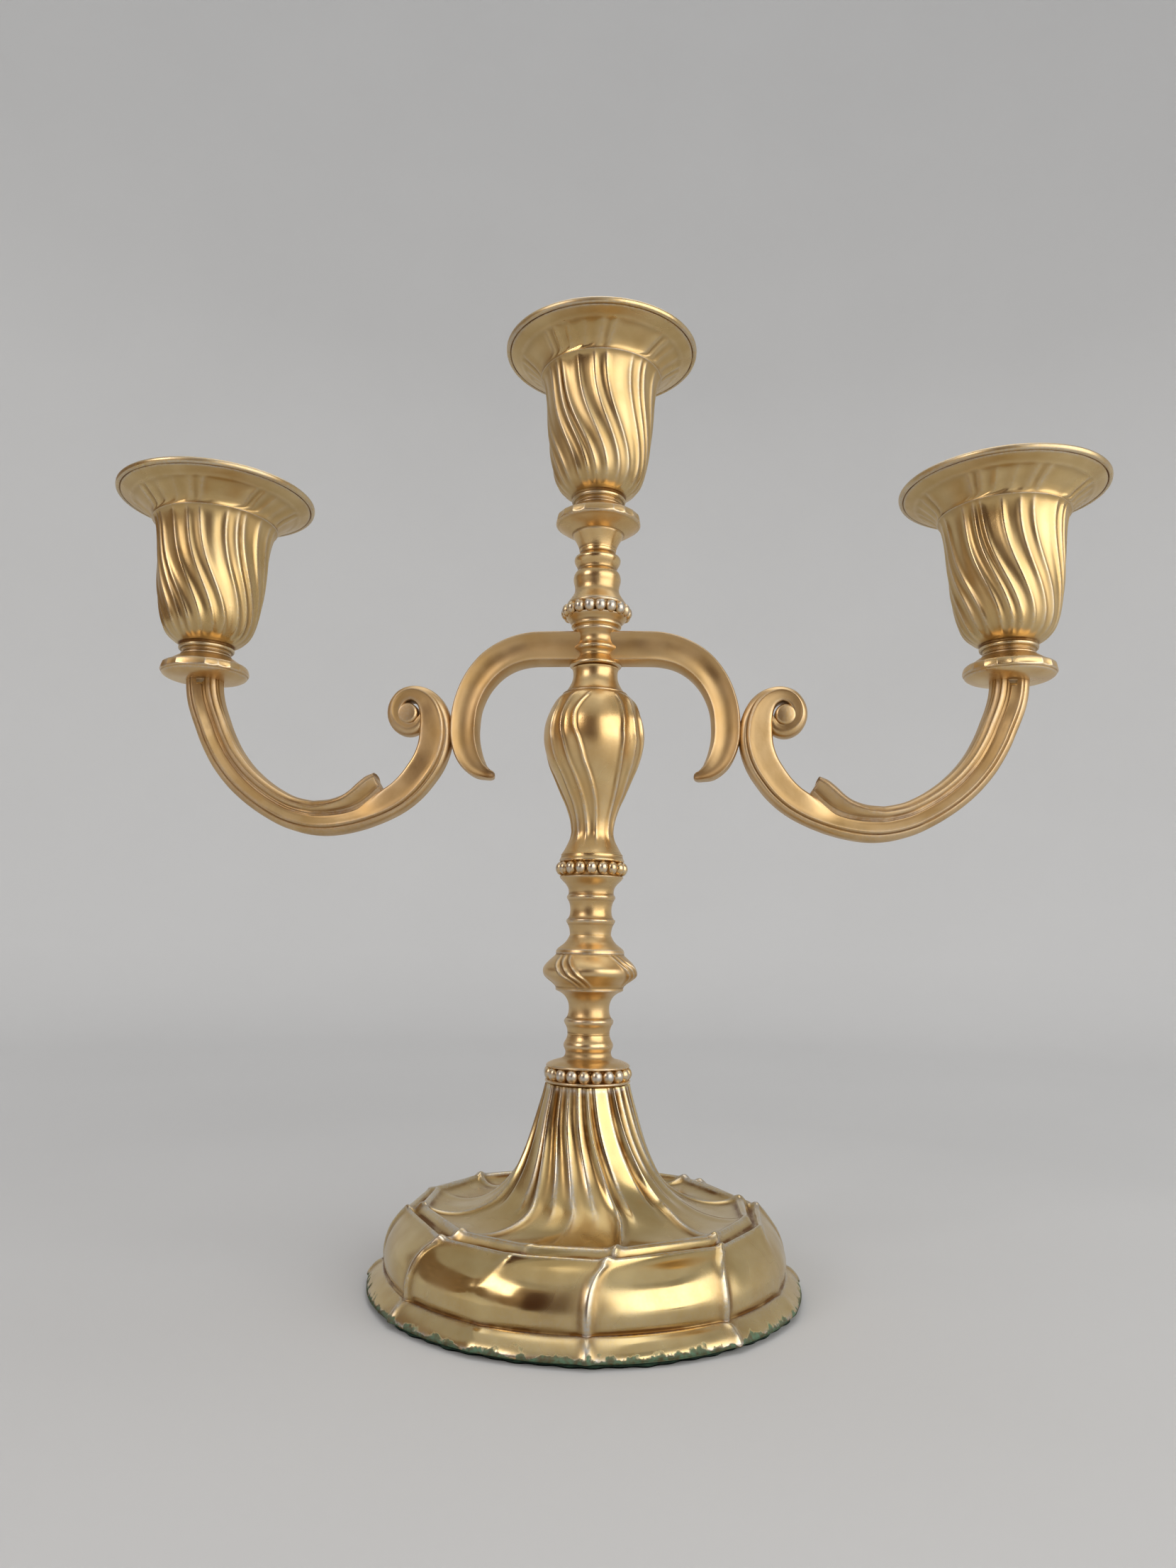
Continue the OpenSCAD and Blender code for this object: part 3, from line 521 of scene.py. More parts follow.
def facetted_edge(row, angle):
    """Shallow facets around the edge, which meet in crisp upright corners. The wide one is deepest."""
    radius, height = row
    over_neck = height - (height.max() - disc_h)
    angle, panel, share, width = quartered(angle, facets_even, facets_real)
    on_edge = np.clip((over_neck - edge_low) / 0.5, 0, 1) * np.clip((edge_high - over_neck) / 0.7, 0, 1)
    dent = np.where(panel == 3, wide_dent, narrow_dent) * on_edge * (radius > 9) * np.sin(pi * share)
    return radius - dent, angle + first_facet, height + 0.5 * dent * (over_neck > edge_belly)


satin_gilding = gilt_brass(
    "satin_gilding", (0.76, 0.55, 0.27), (0.66, 0.43, 0.18),
    roughness=0.24, grain=0.006, wear=0.3, grime_and_shade_share=0.6, smudge=0.12,
)
side_outline = smooth_line(side_under + disc_edge + disc_top, 4)
neck_outline = smooth_line(neck_under + [[r, z + neck_h] for r, z in disc_edge + disc_top], 4)
for node, outline in (
    ("left_drip_disc", side_outline), ("centre_drip_disc", neck_outline), ("right_drip_disc", side_outline),
):
    low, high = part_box(node)
    model = turned("disc_model", outline, 240)
    chase(model, outline, facetted_edge)
    mark_wear(model, 1.2, flush)
    model.data.materials.append(satin_gilding)
    disc = place_copy(model, node + "_gilt", (low.x + high.x) / 2 / mm, low.z / mm)
    drop(model)
    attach(disc, "stand")
    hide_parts(node)


# ---- Stem: collars, hub and upper stem ----
# Turned and cast pieces that stack on the tie rod. Scotias between sharp little lips, and three collars
# with a ring of oval beads, worn to pale metal on their crowns.
def add_beads(piece, low_z, count, ring_r, bead_z, across, tall, out, first):
    """Joins a ring of oval beads to a piece that starts at low_z. The first bead is at that angle."""
    bpy.ops.object.select_all(action="DESELECT")
    beads = []
    for i in range(count):
        a = radians(first + 360 * i / count)
        bpy.ops.mesh.primitive_uv_sphere_add(segments=20, ring_count=12, radius=mm)
        bead = bpy.context.object
        bead.data.transform(
            Matrix.Translation(Vector((ring_r * sin(a), -ring_r * cos(a), low_z + bead_z)) * mm)
            @ Matrix.Rotation(a, 4, "Z")
            @ Matrix.Diagonal((across / 2, out / 2, tall / 2, 1))
        )
        bpy.ops.object.shade_smooth()
        # From -1 at the bead's root to 1 on its crown. The crown is worn, and the gaps between beads are
        # darkened: partly grime, partly painted shade.
        reach = np.array([(v.co.xy.length / mm - ring_r) / (out / 2) for v in bead.data.vertices])
        for label, value in (("edge", 2.5 * np.clip(reach, 0, 1) ** 1.5), ("hollow", 0.7 - 1.6 * reach)):
            attribute = bead.data.attributes.new(label, "FLOAT", "POINT")
            attribute.data.foreach_set("value", np.clip(value, 0, 3).astype(np.float32))
        beads.append(bead)
    bpy.ops.object.select_all(action="DESELECT")
    for bead in beads + [piece]:
        bead.select_set(True)
    bpy.context.view_layer.objects.active = piece
    bpy.ops.object.join()


def stem_piece(node, outline, beads=None):
    """Turned stem piece in place of a CAD node. Its outline starts at the node's foot and is bored."""
    low_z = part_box(node)[0].z / mm
    bore_foot, bore_top = [[rod_bore, outline[0][1]]], [[rod_bore, outline[-1][1]]]
    bored = np.vstack([bore_foot, smooth_line(outline, 4), bore_top])
    bored[:, 1] += low_z
    piece = turned(node + "_gilt", bored, 128)
    mark_wear(piece, 1.2, flush)
    if beads:
        add_beads(piece, low_z, **beads)
    piece.data.materials.append(satin_gilding)
    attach(piece, "stand")
    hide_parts(node)


stem_piece(
    "lower_bead_collar",
    [
        [9.6, 0], [9.9, 0.3], [10.7, 0.4], [10.95, 0.65], [10.85, 1.0], [10.2, 1.15], [9.5, 1.5],
        [9.3, 2.6], [9.5, 3.9], [10.3, 4.1], [10.75, 4.35], [10.7, 4.7], [10.2, 5.05], [9.4, 5.4],
        [8.5, 5.7], [7.5, 5.95], [6.8, 6.2], [6.35, 6.5], [6.05, 6.9], [5.9, 7.5], [5.9, 8.0], [6.1, 8.5],
        [6.35, 9.1], [6.42, 9.6], [6.25, 10.2], [5.9, 10.8], [5.6, 11.5], [5.45, 12.2],
    ],
    beads=dict(count=20, ring_r=9.7, bead_z=2.6, across=3.2, tall=3.6, out=3.3, first=-1),
)
stem_piece(
    "middle_bead_collar",
    [
        [5.4, 0], [5.45, 0.9], [5.65, 1.9], [5.95, 2.7], [6.2, 3.1], [6.42, 3.55], [6.38, 4.0], [6.0, 4.3],
        [5.65, 4.9], [5.45, 5.9], [5.45, 6.9], [5.6, 8.0], [5.95, 8.9], [6.2, 9.3], [6.4, 9.8],
        [6.25, 10.3], [5.95, 10.7], [5.95, 11.5], [6.2, 12.4], [6.9, 13.4], [7.8, 14.3], [8.3, 14.9],
        [8.4, 15.2], [8.1, 15.5], [7.8, 16.2], [7.7, 17.4], [7.9, 18.7], [8.4, 19.1], [8.6, 19.4],
        [8.45, 19.8], [8.2, 20.3], [8.1, 20.9],
    ],
    beads=dict(count=18, ring_r=8.15, bead_z=17.3, across=2.8, tall=3.4, out=2.9, first=4),
)
stem_piece(
    "arm_hub",
    [
        [5.6, 0], [6.0, 0.2], [6.9, 0.6], [7.05, 1.0], [6.8, 1.4], [6.2, 1.9], [5.5, 2.6], [4.95, 3.4],
        [4.9, 4.1], [5.3, 4.7], [5.95, 5.2], [6.1, 5.6], [5.95, 6.0], [5.4, 6.5], [5.0, 7.3], [4.95, 8.3],
        [5.2, 9.1], [5.9, 9.9], [6.3, 10.3], [6.35, 10.7], [6.2, 11.1], [6.1, 11.5],
    ],
)
stem_piece(
    "upper_stem",
    [
        [6.1, 0], [6.75, 0.2], [6.85, 0.6], [6.9, 1.1], [7.4, 1.8], [8.1, 2.45], [8.35, 2.75], [8.2, 3.0],
        [7.8, 3.3], [7.7, 4.3], [7.8, 5.6], [8.05, 6.1], [8.15, 6.5], [7.95, 7.0], [7.4, 7.8], [6.8, 8.7],
        [6.35, 9.5], [6.1, 10.3], [6.05, 11.2], [6.2, 12.2], [6.45, 13.2], [6.5, 14.0], [6.3, 15.0],
        [5.9, 15.7], [5.5, 16.2], [5.4, 16.8], [5.65, 17.5], [6.1, 18.3], [6.38, 19.2], [6.2, 19.9],
        [5.7, 20.4], [5.2, 20.8], [4.95, 21.2], [4.95, 22],
    ],
    beads=dict(count=18, ring_r=8.3, bead_z=4.3, across=3.0, tall=3.6, out=2.9, first=11),
)


# ---- Baluster and knop ----
# Cast pieces with four wide smooth panels. Each panel is followed by two narrow flutes, and raised
# ridges run between them all. The ridges swirl in a long S.
# Rows are [radius, height, ridge height, turn of the wide panel's middle, half width of the wide panel].
baluster_rows = smooth_line(
    [
        [8.2, 0, 0, 33, 19], [7.85, 0.5, 0, 33, 19], [7.3, 1.4, 0, 33, 19], [6.75, 2.5, 0.05, 33, 19],
        [6.1, 3.9, 0.15, 33, 19], [5.7, 5.3, 0.3, 33, 19], [5.62, 6.6, 0.35, 33, 19],
        [6.0, 9.4, 0.45, 32, 19], [7.1, 12.9, 0.5, 30, 20], [8.4, 15.9, 0.6, 26.5, 21],
        [10.4, 20.5, 0.65, 20.5, 23], [11.9, 23.6, 0.7, 16.5, 24.3], [13.0, 26.7, 0.7, 14, 25],
        [13.65, 29.6, 0.7, 12, 26.5], [13.8, 32, 0.7, 9.5, 28], [13.6, 34.5, 0.7, 9.2, 29],
        [13.0, 36.8, 0.7, 9.5, 29], [12.0, 39.2, 0.65, 12, 26.5], [10.9, 41.1, 0.5, 14.5, 22],
        [9.8, 42.4, 0.15, 16, 20], [9.1, 43.0, 0, 16, 20], [8.75, 43.25, 0, 16, 20],
        [8.75, 43.55, 0, 16, 20], [8.5, 43.75, 0, 16, 20], [8.1, 43.95, 0, 16, 20], [7.6, 44.5, 0, 16, 20],
        [7.0, 45.5, 0, 16, 20], [6.45, 46.6, 0, 16, 20], [6.1, 47.8, 0, 16, 20], [6.0, 49, 0, 16, 20],
        [6.1, 50, 0, 16, 20], [6.3, 50.6, 0, 16, 20],
    ],
    5,
)
panel_ridge_w = 0.55


def panels(row, angle):
    """Four wide panels, each followed by two narrow flutes."""
    radius, height, depth, turn, half = row
    flute = 45 - half
    real = np.stack([turn - half, turn + half, turn + half + flute, turn + 90 - half])
    angle, panel, share, width = quartered(angle, [0, 45, 67.5, 90], real)
    trough = 1 - crests(share, width, radius, panel_ridge_w)
    trough *= np.where(panel == 0, 1 - 0.35 * np.sin(pi * share) ** 2, 0.6 + 0.4 * np.sin(pi * share))
    return radius + 0.3 * depth - depth * trough, angle, height


def panelled_piece(node, rows):
    """Turned piece with panels in place of a CAD node, bored for the tie rod."""
    rows = np.vstack([rows[:1], rows, rows[-1:]])
    rows[[0, -1], 0] = rod_bore
    rows[:, 1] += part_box(node)[0].z / mm
    piece = turned(node + "_gilt", rows, 288)
    chase(piece, rows, panels)
    mark_wear(piece, 1.3, flush)
    piece.data.materials.append(satin_gilding)
    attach(piece, "stand")
    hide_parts(node)


panelled_piece("baluster", baluster_rows)

knop_rows = smooth_line(
    [
        [5.45, 0, 0, 0, 34], [5.5, 0.9, 0, 0, 34], [5.8, 2.0, 0, 0, 34], [6.25, 2.8, 0, 0, 34],
        [6.4, 3.4, 0, 0, 34], [6.2, 3.9, 0, 0, 34], [5.7, 4.4, 0, 0, 34], [5.35, 5.4, 0, 0, 34],
        [5.24, 6.8, 0, 0, 34], [5.5, 8.2, 0, 0, 34], [6.2, 9.5, 0, 0, 34], [7.2, 10.4, 0, 0, 34],
        [8.2, 10.9, 0, 40, 34], [8.75, 11.2, 0, 40, 34], [8.8, 11.6, 0, 40, 34], [8.9, 12.1, 0.1, 40, 34],
        [9.6, 12.9, 0.4, 37, 34], [10.7, 13.7, 0.6, 33, 34], [11.85, 14.6, 0.7, 28, 34],
        [12.4, 15.3, 0.7, 24, 34], [12.55, 16.1, 0.7, 21, 34], [12.4, 16.9, 0.75, 18, 34],
        [11.75, 17.8, 0.7, 14, 34], [10.7, 18.8, 0.5, 10, 34], [9.5, 19.8, 0.3, 7, 34],
        [8.95, 20.3, 0.1, 5, 34], [8.9, 20.5, 0, 5, 34], [8.95, 20.8, 0, 5, 34], [8.75, 21.5, 0, 5, 34],
        [8.5, 21.8, 0, 5, 34], [7.9, 22.3, 0, 5, 34], [7.1, 22.9, 0, 5, 34], [6.4, 23.6, 0, 5, 34],
        [5.8, 24.5, 0, 5, 34], [5.45, 25.3, 0, 5, 34],
    ],
    5,
)
panelled_piece("knop", knop_rows)


# ---- Arms ----
# Each arm is two flat castings soldered together: a crescent on the hub and an S-scroll that carries
# the cup, with a curled volute at one end and a leaf thorn inside its sweep.
def moulded_bar(name, line, sections, steps):
    """Bar bent along a line in the XZ plane. line rows are [x, z, half width, half thickness, section]
    in mm. The sections are closed outlines of [across, through] from -1 to 1, where across is +1 on
    the left of the line's run, and a row may name a number between two of them."""
    path = smooth_line(line, steps)
    rings = np.stack([smooth_line(section, 3)[:-1] for section in sections])
    spokes = rings.shape[1]
    bpy.ops.object.select_all(action="DESELECT")
    bpy.ops.mesh.primitive_cylinder_add(vertices=spokes, radius=mm, depth=mm, end_fill_type="NGON")
    bar = bpy.context.object
    bar.name = bar.data.name = name
    bpy.ops.object.mode_set(mode="EDIT")
    bpy.ops.mesh.select_all(action="DESELECT")
    bpy.ops.object.mode_set(mode="OBJECT")
    for face in bar.data.polygons:
        face.select = face.normal.z > 0.9
    bpy.ops.object.mode_set(mode="EDIT")
    bpy.ops.mesh.select_mode(type="FACE")
    for i in range(len(path) - 2):
        bpy.ops.mesh.extrude_region_move(TRANSFORM_OT_translate={"value": (0, 0, mm)})
    bpy.ops.object.mode_set(mode="OBJECT")
    place = np.empty(3 * len(bar.data.vertices))
    bar.data.vertices.foreach_get("co", place)
    x, y, z = place.reshape(-1, 3).T / mm
    station = np.rint(z + 0.5).astype(int)
    spoke = np.rint(np.degrees(np.arctan2(y, x)) / 360 * spokes).astype(int) % spokes
    run = np.gradient(path[:, :2], axis=0)
    run /= np.linalg.norm(run, axis=1)[:, None]
    left = np.column_stack([-run[:, 1], run[:, 0]])
    blend = np.clip(path[station, 4], 0, len(rings) - 1)
    first = np.minimum(blend.astype(int), max(len(rings) - 2, 0))
    share = (blend - first)[:, None]
    last = np.minimum(first + 1, len(rings) - 1)
    across, through = (rings[first, spoke] * (1 - share) + rings[last, spoke] * share).T
    flat = path[station, :2] + left[station] * (across * path[station, 2])[:, None]
    place = np.column_stack([flat[:, 0], through * path[station, 3], flat[:, 1]]) * mm
    bar.data.vertices.foreach_set("co", place.ravel())
    bar.data.update()
    bpy.ops.object.mode_set(mode="EDIT")
    bpy.ops.mesh.select_all(action="SELECT")
    bpy.ops.mesh.normals_make_consistent(inside=False)
    bpy.ops.object.mode_set(mode="OBJECT")
    bpy.ops.object.shade_smooth()
    return bar


def joined(name, parts):
    """Joins parts into the first one."""
    bpy.ops.object.select_all(action="DESELECT")
    for part in parts:
        part.select_set(True)
    bpy.context.view_layer.objects.active = parts[0]
    bpy.ops.object.join()
    parts[0].name = parts[0].data.name = name
    return parts[0]


def mirrored(piece):
    """Turns a right-hand piece into a left-hand one."""
    piece.data.transform(Matrix.Diagonal((-1, 1, 1, 1)))
    piece.data.flip_normals()


def both_faces(face):
    """Closed section from its front half, which runs from the +1 edge to the -1 edge."""
    return face + [[s, -t] for s, t in reversed(face[1:-1])] + [face[0]]


# The crescent's front is a broad cove between a thin rim and a crisp line, with bevelled edges.
crescent = both_faces([
    [1, 0], [1, 0.4], [0.97, 0.72], [0.91, 0.93], [0.85, 1.0], [0.79, 0.96], [0.62, 0.84], [0.35, 0.74],
    [0.05, 0.7], [-0.25, 0.74], [-0.5, 0.84], [-0.68, 0.96], [-0.75, 1.0], [-0.8, 0.93], [-0.88, 0.72],
    [-0.97, 0.4], [-1, 0],
])
# Lines have [x, z, half width, half thickness, section].
crescent_line = [
    [2.3, 163.1, 4.65, 3.5, 0], [12.0, 163.1, 4.65, 3.5, 0], [18.2, 162.8, 4.6, 3.5, 0],
    [23.6, 161.2, 4.45, 3.5, 0], [28.4, 158.0, 4.35, 3.5, 0], [32.2, 153.1, 4.15, 3.5, 0],
    [34.45, 147.3, 3.97, 3.5, 0], [35.1, 141.8, 3.9, 3.5, 0], [34.8, 137.0, 3.78, 3.5, 0],
    [33.4, 132.8, 3.42, 3.5, 0], [31.2, 129.9, 2.6, 3.4, 0], [28.8, 128.5, 1.55, 2.6, 0],
    [27.5, 128.2, 1.2, 2.0, 0], [26.9, 128.15, 0.8, 1.3, 0], [26.7, 128.15, 0.3, 0.5, 0],
]
# At the cup the scroll is nearly flat, around the stud. Further on its outer half has a bevel, a hair
# groove, a raised line and a slope down to the valley. Then the valley runs out to the inner edge and
# leaves one broad band, which narrows into the volute.
band_seat = both_faces([
    [1, 0], [1, 0.35], [0.93, 0.62], [0.76, 0.82], [0.66, 0.88], [0.6, 0.87], [0.55, 0.93], [0.47, 1.0],
    [0.38, 0.98], [0.25, 0.93], [0.1, 0.89], [-0.04, 0.86], [-0.3, 0.8], [-0.6, 0.6], [-0.85, 0.45],
    [-0.9, 0.3], [-0.9, 0],
])
band_valley = both_faces([
    [1, 0], [1, 0.35], [0.93, 0.62], [0.76, 0.8], [0.66, 0.83], [0.6, 0.79], [0.55, 0.9], [0.47, 1.0],
    [0.38, 0.97], [0.25, 0.88], [0.1, 0.78], [-0.04, 0.7], [-0.3, 0.62], [-0.6, 0.55], [-0.85, 0.45],
    [-0.9, 0.3], [-0.9, 0],
])
band_broad = both_faces([
    [1, 0], [1, 0.35], [0.93, 0.62], [0.78, 0.78], [0.66, 0.81], [0.6, 0.78], [0.54, 0.88], [0.46, 0.98],
    [0.37, 0.96], [0.1, 0.92], [-0.4, 0.89], [-0.8, 0.86], [-0.9, 0.8], [-0.96, 0.68], [-0.99, 0.5],
    [-1, 0.3], [-1, 0],
])
band_curl = both_faces([
    [1, 0], [1, 0.3], [0.95, 0.52], [0.85, 0.7], [0.7, 0.84], [0.58, 0.92], [0.48, 0.98], [0.4, 1.0],
    [0.32, 0.97], [0.1, 0.92], [-0.35, 0.88], [-0.75, 0.86], [-0.88, 0.8], [-0.95, 0.68], [-0.99, 0.5],
    [-1, 0.3], [-1, 0],
])
band_end = both_faces([
    [1, 0], [1, 0.3], [0.95, 0.48], [0.85, 0.62], [0.7, 0.74], [0.5, 0.82], [0.3, 0.86], [0.1, 0.88],
    [-0.1, 0.88], [-0.3, 0.87], [-0.5, 0.86], [-0.7, 0.84], [-0.82, 0.78], [-0.9, 0.66], [-0.97, 0.5],
    [-1, 0.3], [-1, 0],
])
scroll_line = [
    [109.5, 156, 4.75, 3.5, 0], [109.2, 152, 4.75, 3.5, 0], [108.55, 148.6, 4.7, 3.5, 0.1],
    [107.45, 145.3, 4.62, 3.5, 0.6], [106.05, 141.9, 4.56, 3.5, 1], [104.7, 138.7, 4.53, 3.5, 1],
    [103.1, 135.6, 4.48, 3.5, 1], [101.3, 132.6, 4.43, 3.5, 1], [99.2, 129.8, 4.38, 3.5, 1],
    [96.9, 127.2, 4.33, 3.5, 1], [94.3, 124.8, 4.29, 3.5, 1], [91.7, 122.75, 4.26, 3.5, 1],
    [88.8, 120.8, 4.25, 3.5, 1], [85.7, 119.05, 4.28, 3.5, 1], [82.9, 117.75, 4.34, 3.5, 1],
    [80, 116.85, 4.44, 3.5, 1], [76.9, 116.2, 4.56, 3.5, 1], [73.6, 115.95, 4.66, 3.5, 1],
    [70.2, 116.1, 4.66, 3.5, 1], [66.4, 116.65, 4.55, 3.5, 1.05], [62.9, 117.4, 4.36, 3.5, 1.12],
    [59.6, 118.4, 4.15, 3.5, 1.42], [56.8, 119.5, 4.02, 3.5, 1.8], [54.1, 120.9, 3.98, 3.5, 2],
    [51.5, 122.8, 4.06, 3.5, 2], [49, 125.3, 4.18, 3.5, 2], [46.9, 128.1, 4.28, 3.5, 2],
    [45.1, 131, 4.36, 3.5, 2], [43.9, 133.9, 4.42, 3.5, 2], [43.2, 136.9, 4.45, 3.5, 2],
    [43.05, 140, 4.4, 3.5, 2.1], [43.4, 143.4, 4.1, 3.5, 2.4], [44.6, 146.9, 3.5, 3.5, 2.8],
    [46.8, 149.4, 2.75, 3.5, 3], [49.8, 150.45, 2.2, 3.5, 3], [52.6, 149.5, 2.1, 3.5, 3.05],
    [54.3, 146.9, 2.1, 3.45, 3.2], [54.4, 144, 2.1, 3.35, 3.45], [53, 141.6, 2.05, 3.2, 3.8],
    [50.6, 140.6, 1.95, 3.05, 4], [48.4, 141.3, 1.75, 2.9, 4], [47.3, 143.2, 1.3, 2.7, 4],
    [47, 144.6, 0.7, 2.4, 4],
]
# The inner half is a rib that leaves the arm before the volute and ends as the leaf thorn.
rib_seat = both_faces([
    [1, 0], [1, 0.84], [0.6, 0.88], [0.2, 0.95], [-0.08, 1.0], [-0.3, 0.96], [-0.65, 0.86], [-0.88, 0.65],
    [-1, 0.35], [-1, 0],
])
rib = both_faces([
    [1, 0], [1, 0.66], [0.6, 0.77], [0.2, 0.93], [-0.08, 1.0], [-0.3, 0.95], [-0.65, 0.8], [-0.88, 0.6],
    [-1, 0.35], [-1, 0],
])
leaf = both_faces([
    [1, 0], [1, 0.62], [0.6, 0.68], [0.1, 0.76], [-0.3, 0.88], [-0.6, 1.0], [-0.74, 0.96], [-0.88, 0.74],
    [-1, 0.4], [-1, 0],
])
leaf_line = [
    [74.7, 118.5, 2.25, 3.5, 1.1], [70.9, 118.75, 2.4, 3.5, 1.4], [66.9, 119.7, 2.85, 3.5, 1.8],
    [63.9, 121.2, 3.3, 3.5, 2], [61.7, 122.95, 3.55, 3.5, 2], [59.9, 124.6, 3.45, 3.5, 2],
    [58.75, 125.5, 3.1, 3.4, 2], [58.5, 125.65, 2.9, 3.2, 2], [58.35, 125.75, 2.6, 2.7, 2],
]
# Up to the leaf the rib follows the arm, and fills the inner part of its width.
rib_share = 0.485
rib_rows = 17
beside = np.array(scroll_line[:rib_rows])
run = np.gradient(beside[:, :2], axis=0)
run /= np.linalg.norm(run, axis=1)[:, None]
inward = np.column_stack([run[:, 1], -run[:, 0]])
rib_middle = beside[:, :2] + (1 - rib_share) * beside[:, 2:3] * inward
rib_line = np.vstack([np.column_stack([rib_middle, rib_share * beside[:, 2], beside[:, 3:]]), leaf_line])
# The eye of the volute is a round button.
button_x, button_z, button_r, button_thickness, button_rounding = 50.9, 144.8, 2.9, 6, 0.9
arm_gilding = gilt_brass(
    "arm_gilding", (0.69, 0.48, 0.24), (0.56, 0.36, 0.15),
    roughness=0.31, grain=0.005, wear=0.15, grime_and_shade_share=0.6, smudge=0.15,
)
for side in ("left", "right"):
    inner_scroll = moulded_bar(side + "_inner_scroll_gilt", crescent_line, [crescent], 6)
    band = moulded_bar("band", scroll_line, [band_seat, band_valley, band_broad, band_curl, band_end], 5)
    thorn = moulded_bar("thorn", rib_line, [rib_seat, rib, leaf], 5)
    bpy.ops.object.select_all(action="DESELECT")
    bpy.ops.mesh.primitive_cylinder_add(vertices=64, radius=button_r * mm, depth=button_thickness * mm)
    button = bpy.context.object
    at_eye = Matrix.Translation(Vector((button_x, 0, button_z)) * mm)
    button.data.transform(at_eye @ Matrix.Rotation(pi / 2, 4, "X"))
    rounding = button.modifiers.new("rounding", "BEVEL")
    rounding.width = button_rounding * mm
    rounding.segments = 4
    bpy.ops.object.modifier_apply(modifier="rounding")
    bpy.ops.object.shade_smooth_by_angle(angle=radians(50))
    outer_scroll = joined(side + "_outer_scroll_gilt", [band, thorn, button])
    for piece, node in ((inner_scroll, side + "_inner_scroll"), (outer_scroll, side + "_outer_scroll")):
        if side == "left":
            mirrored(piece)
        mark_wear(piece, 0.8)
        piece.data.materials.append(arm_gilding)
        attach(piece, "stand")
        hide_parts(node)


# ---- Foot ----
# One thin casting, polished like a mirror. Eight sharp ridges and four soft ribs climb from the edge
# over pillowed panels and two scalloped rings, cross the dish, and swirl up the trumpet between flutes.
# Each quarter turn has a narrow lobe about its middle, a sharp ridge on either side of that, and half of
# a wide lobe beyond. Angles are in degrees from the middle.
lobe_centre = 23.5
sharp_at = 18.5
soft_at = 45
ridge_lift = 1.15
soft_rib_lift = 0.35
pillow_lift = 0.9
# How far the ridges reach to either side, in degrees times mm of radius.
ridge_reach = 62
soft_rib_reach = 90
# The trumpet's flutes are this share of the radius deep, up to a limit, and half that in the middle.
flute_share = 0.042
flute_limit = 0.6
middle_flute = 8.5
# Rows are [radius, height above the table, how flat the lobes are, pillow, ridge height, swirl, flutes].
foot_rows = smooth_line(
    [
        [53.3, 1.2, 0.2, 0, 0.45, 0, 0], [53.6, 1.5, 0.2, 0, 0.45, 0, 0], [53.2, 2.3, 0.22, 0, 0.55, 0, 0],
        [52.4, 3.3, 0.24, 0, 0.65, 0, 0], [51.2, 4.4, 0.26, 0, 0.75, 0, 0],
        [50.1, 5.1, 0.27, 0, 0.75, 0, 0], [49.6, 5.3, 0.28, 0, 0.6, 0, 0],
        [49.45, 5.8, 0.3, 0.2, 0.7, 0, 0], [49.4, 7.2, 0.3, 0.7, 0.8, 0, 0],
        [49.2, 9.2, 0.35, 1, 0.8, 0, 0], [48.6, 11.5, 0.45, 1.1, 0.8, 0.2, 0],
        [47.6, 13.8, 0.6, 1, 0.8, 0.8, 0], [46.3, 15.8, 0.8, 0.7, 0.75, 2, 0],
        [45.4, 17.1, 0.95, 0.25, 0.7, 3.6, 0], [44.95, 17.9, 1, 0, 0.6, 4.8, 0],
        [44.55, 18.35, 1, 0, 0.6, 5.3, 0], [44.0, 18.4, 1, 0, 0.6, 5.8, 0], [43.3, 17.9, 1, 0, 0.7, 6.6, 0],
        [42.5, 17.75, 1, 0, 0.8, 7.4, 0], [41.8, 18.5, 1, 0, 0.7, 8, 0], [41.2, 19.3, 1, 0, 0.6, 8.4, 0],
        [40.5, 19.65, 1, 0, 0.6, 8.8, 0], [39.8, 19.4, 1, 0, 0.7, 9.3, 0],
        [39.0, 18.6, 0.9, 0, 0.8, 9.9, 0], [37.0, 18.0, 0.75, 0, 0.7, 11, 0],
        [34.5, 17.75, 0.6, 0, 0.6, 12.3, 0], [31.5, 17.9, 0.45, 0, 0.6, 14, 0],
        [28.2, 18.6, 0.35, 0, 0.65, 16, 0], [25.2, 19.9, 0.3, 0, 0.7, 18, 0.1],
        [22.6, 21.7, 0.28, 0, 0.75, 18.6, 0.55], [20.7, 23.5, 0.28, 0, 0.75, 17.3, 1],
        [19.1, 25.4, 0.28, 0, 0.75, 15.8, 1], [17.4, 27.9, 0.26, 0, 0.75, 13.8, 1],
        [15.9, 30.8, 0.24, 0, 0.7, 11.3, 1], [14.6, 33.8, 0.2, 0, 0.65, 8.5, 1],
        [13.5, 37, 0.16, 0, 0.6, 5.5, 1], [12.6, 40.2, 0.1, 0, 0.5, 3, 1],
        [11.7, 43.4, 0.05, 0, 0.45, 1.2, 1], [10.9, 46.4, 0, 0, 0.4, 0, 1],
        [10.45, 48.5, 0, 0, 0.35, -1, 1],
    ],
    3,
)
# Inner wall, from the neck back down to the underside of the rim.
foot_inside = [
    [7, 48.5], [7, 42], [9, 38], [11.5, 32], [14.5, 26], [19, 20.5], [25, 16.6], [32, 15.6], [37, 16],
    [40, 14.5], [43, 11], [45.2, 7], [47, 5], [50.5, 3], [52.4, 1.6], [53.2, 1.2],
]
inner_rows = np.zeros((len(foot_inside), foot_rows.shape[1]))
inner_rows[:, :2] = foot_inside
foot_rows = np.vstack([foot_rows, inner_rows, foot_rows[:1]])

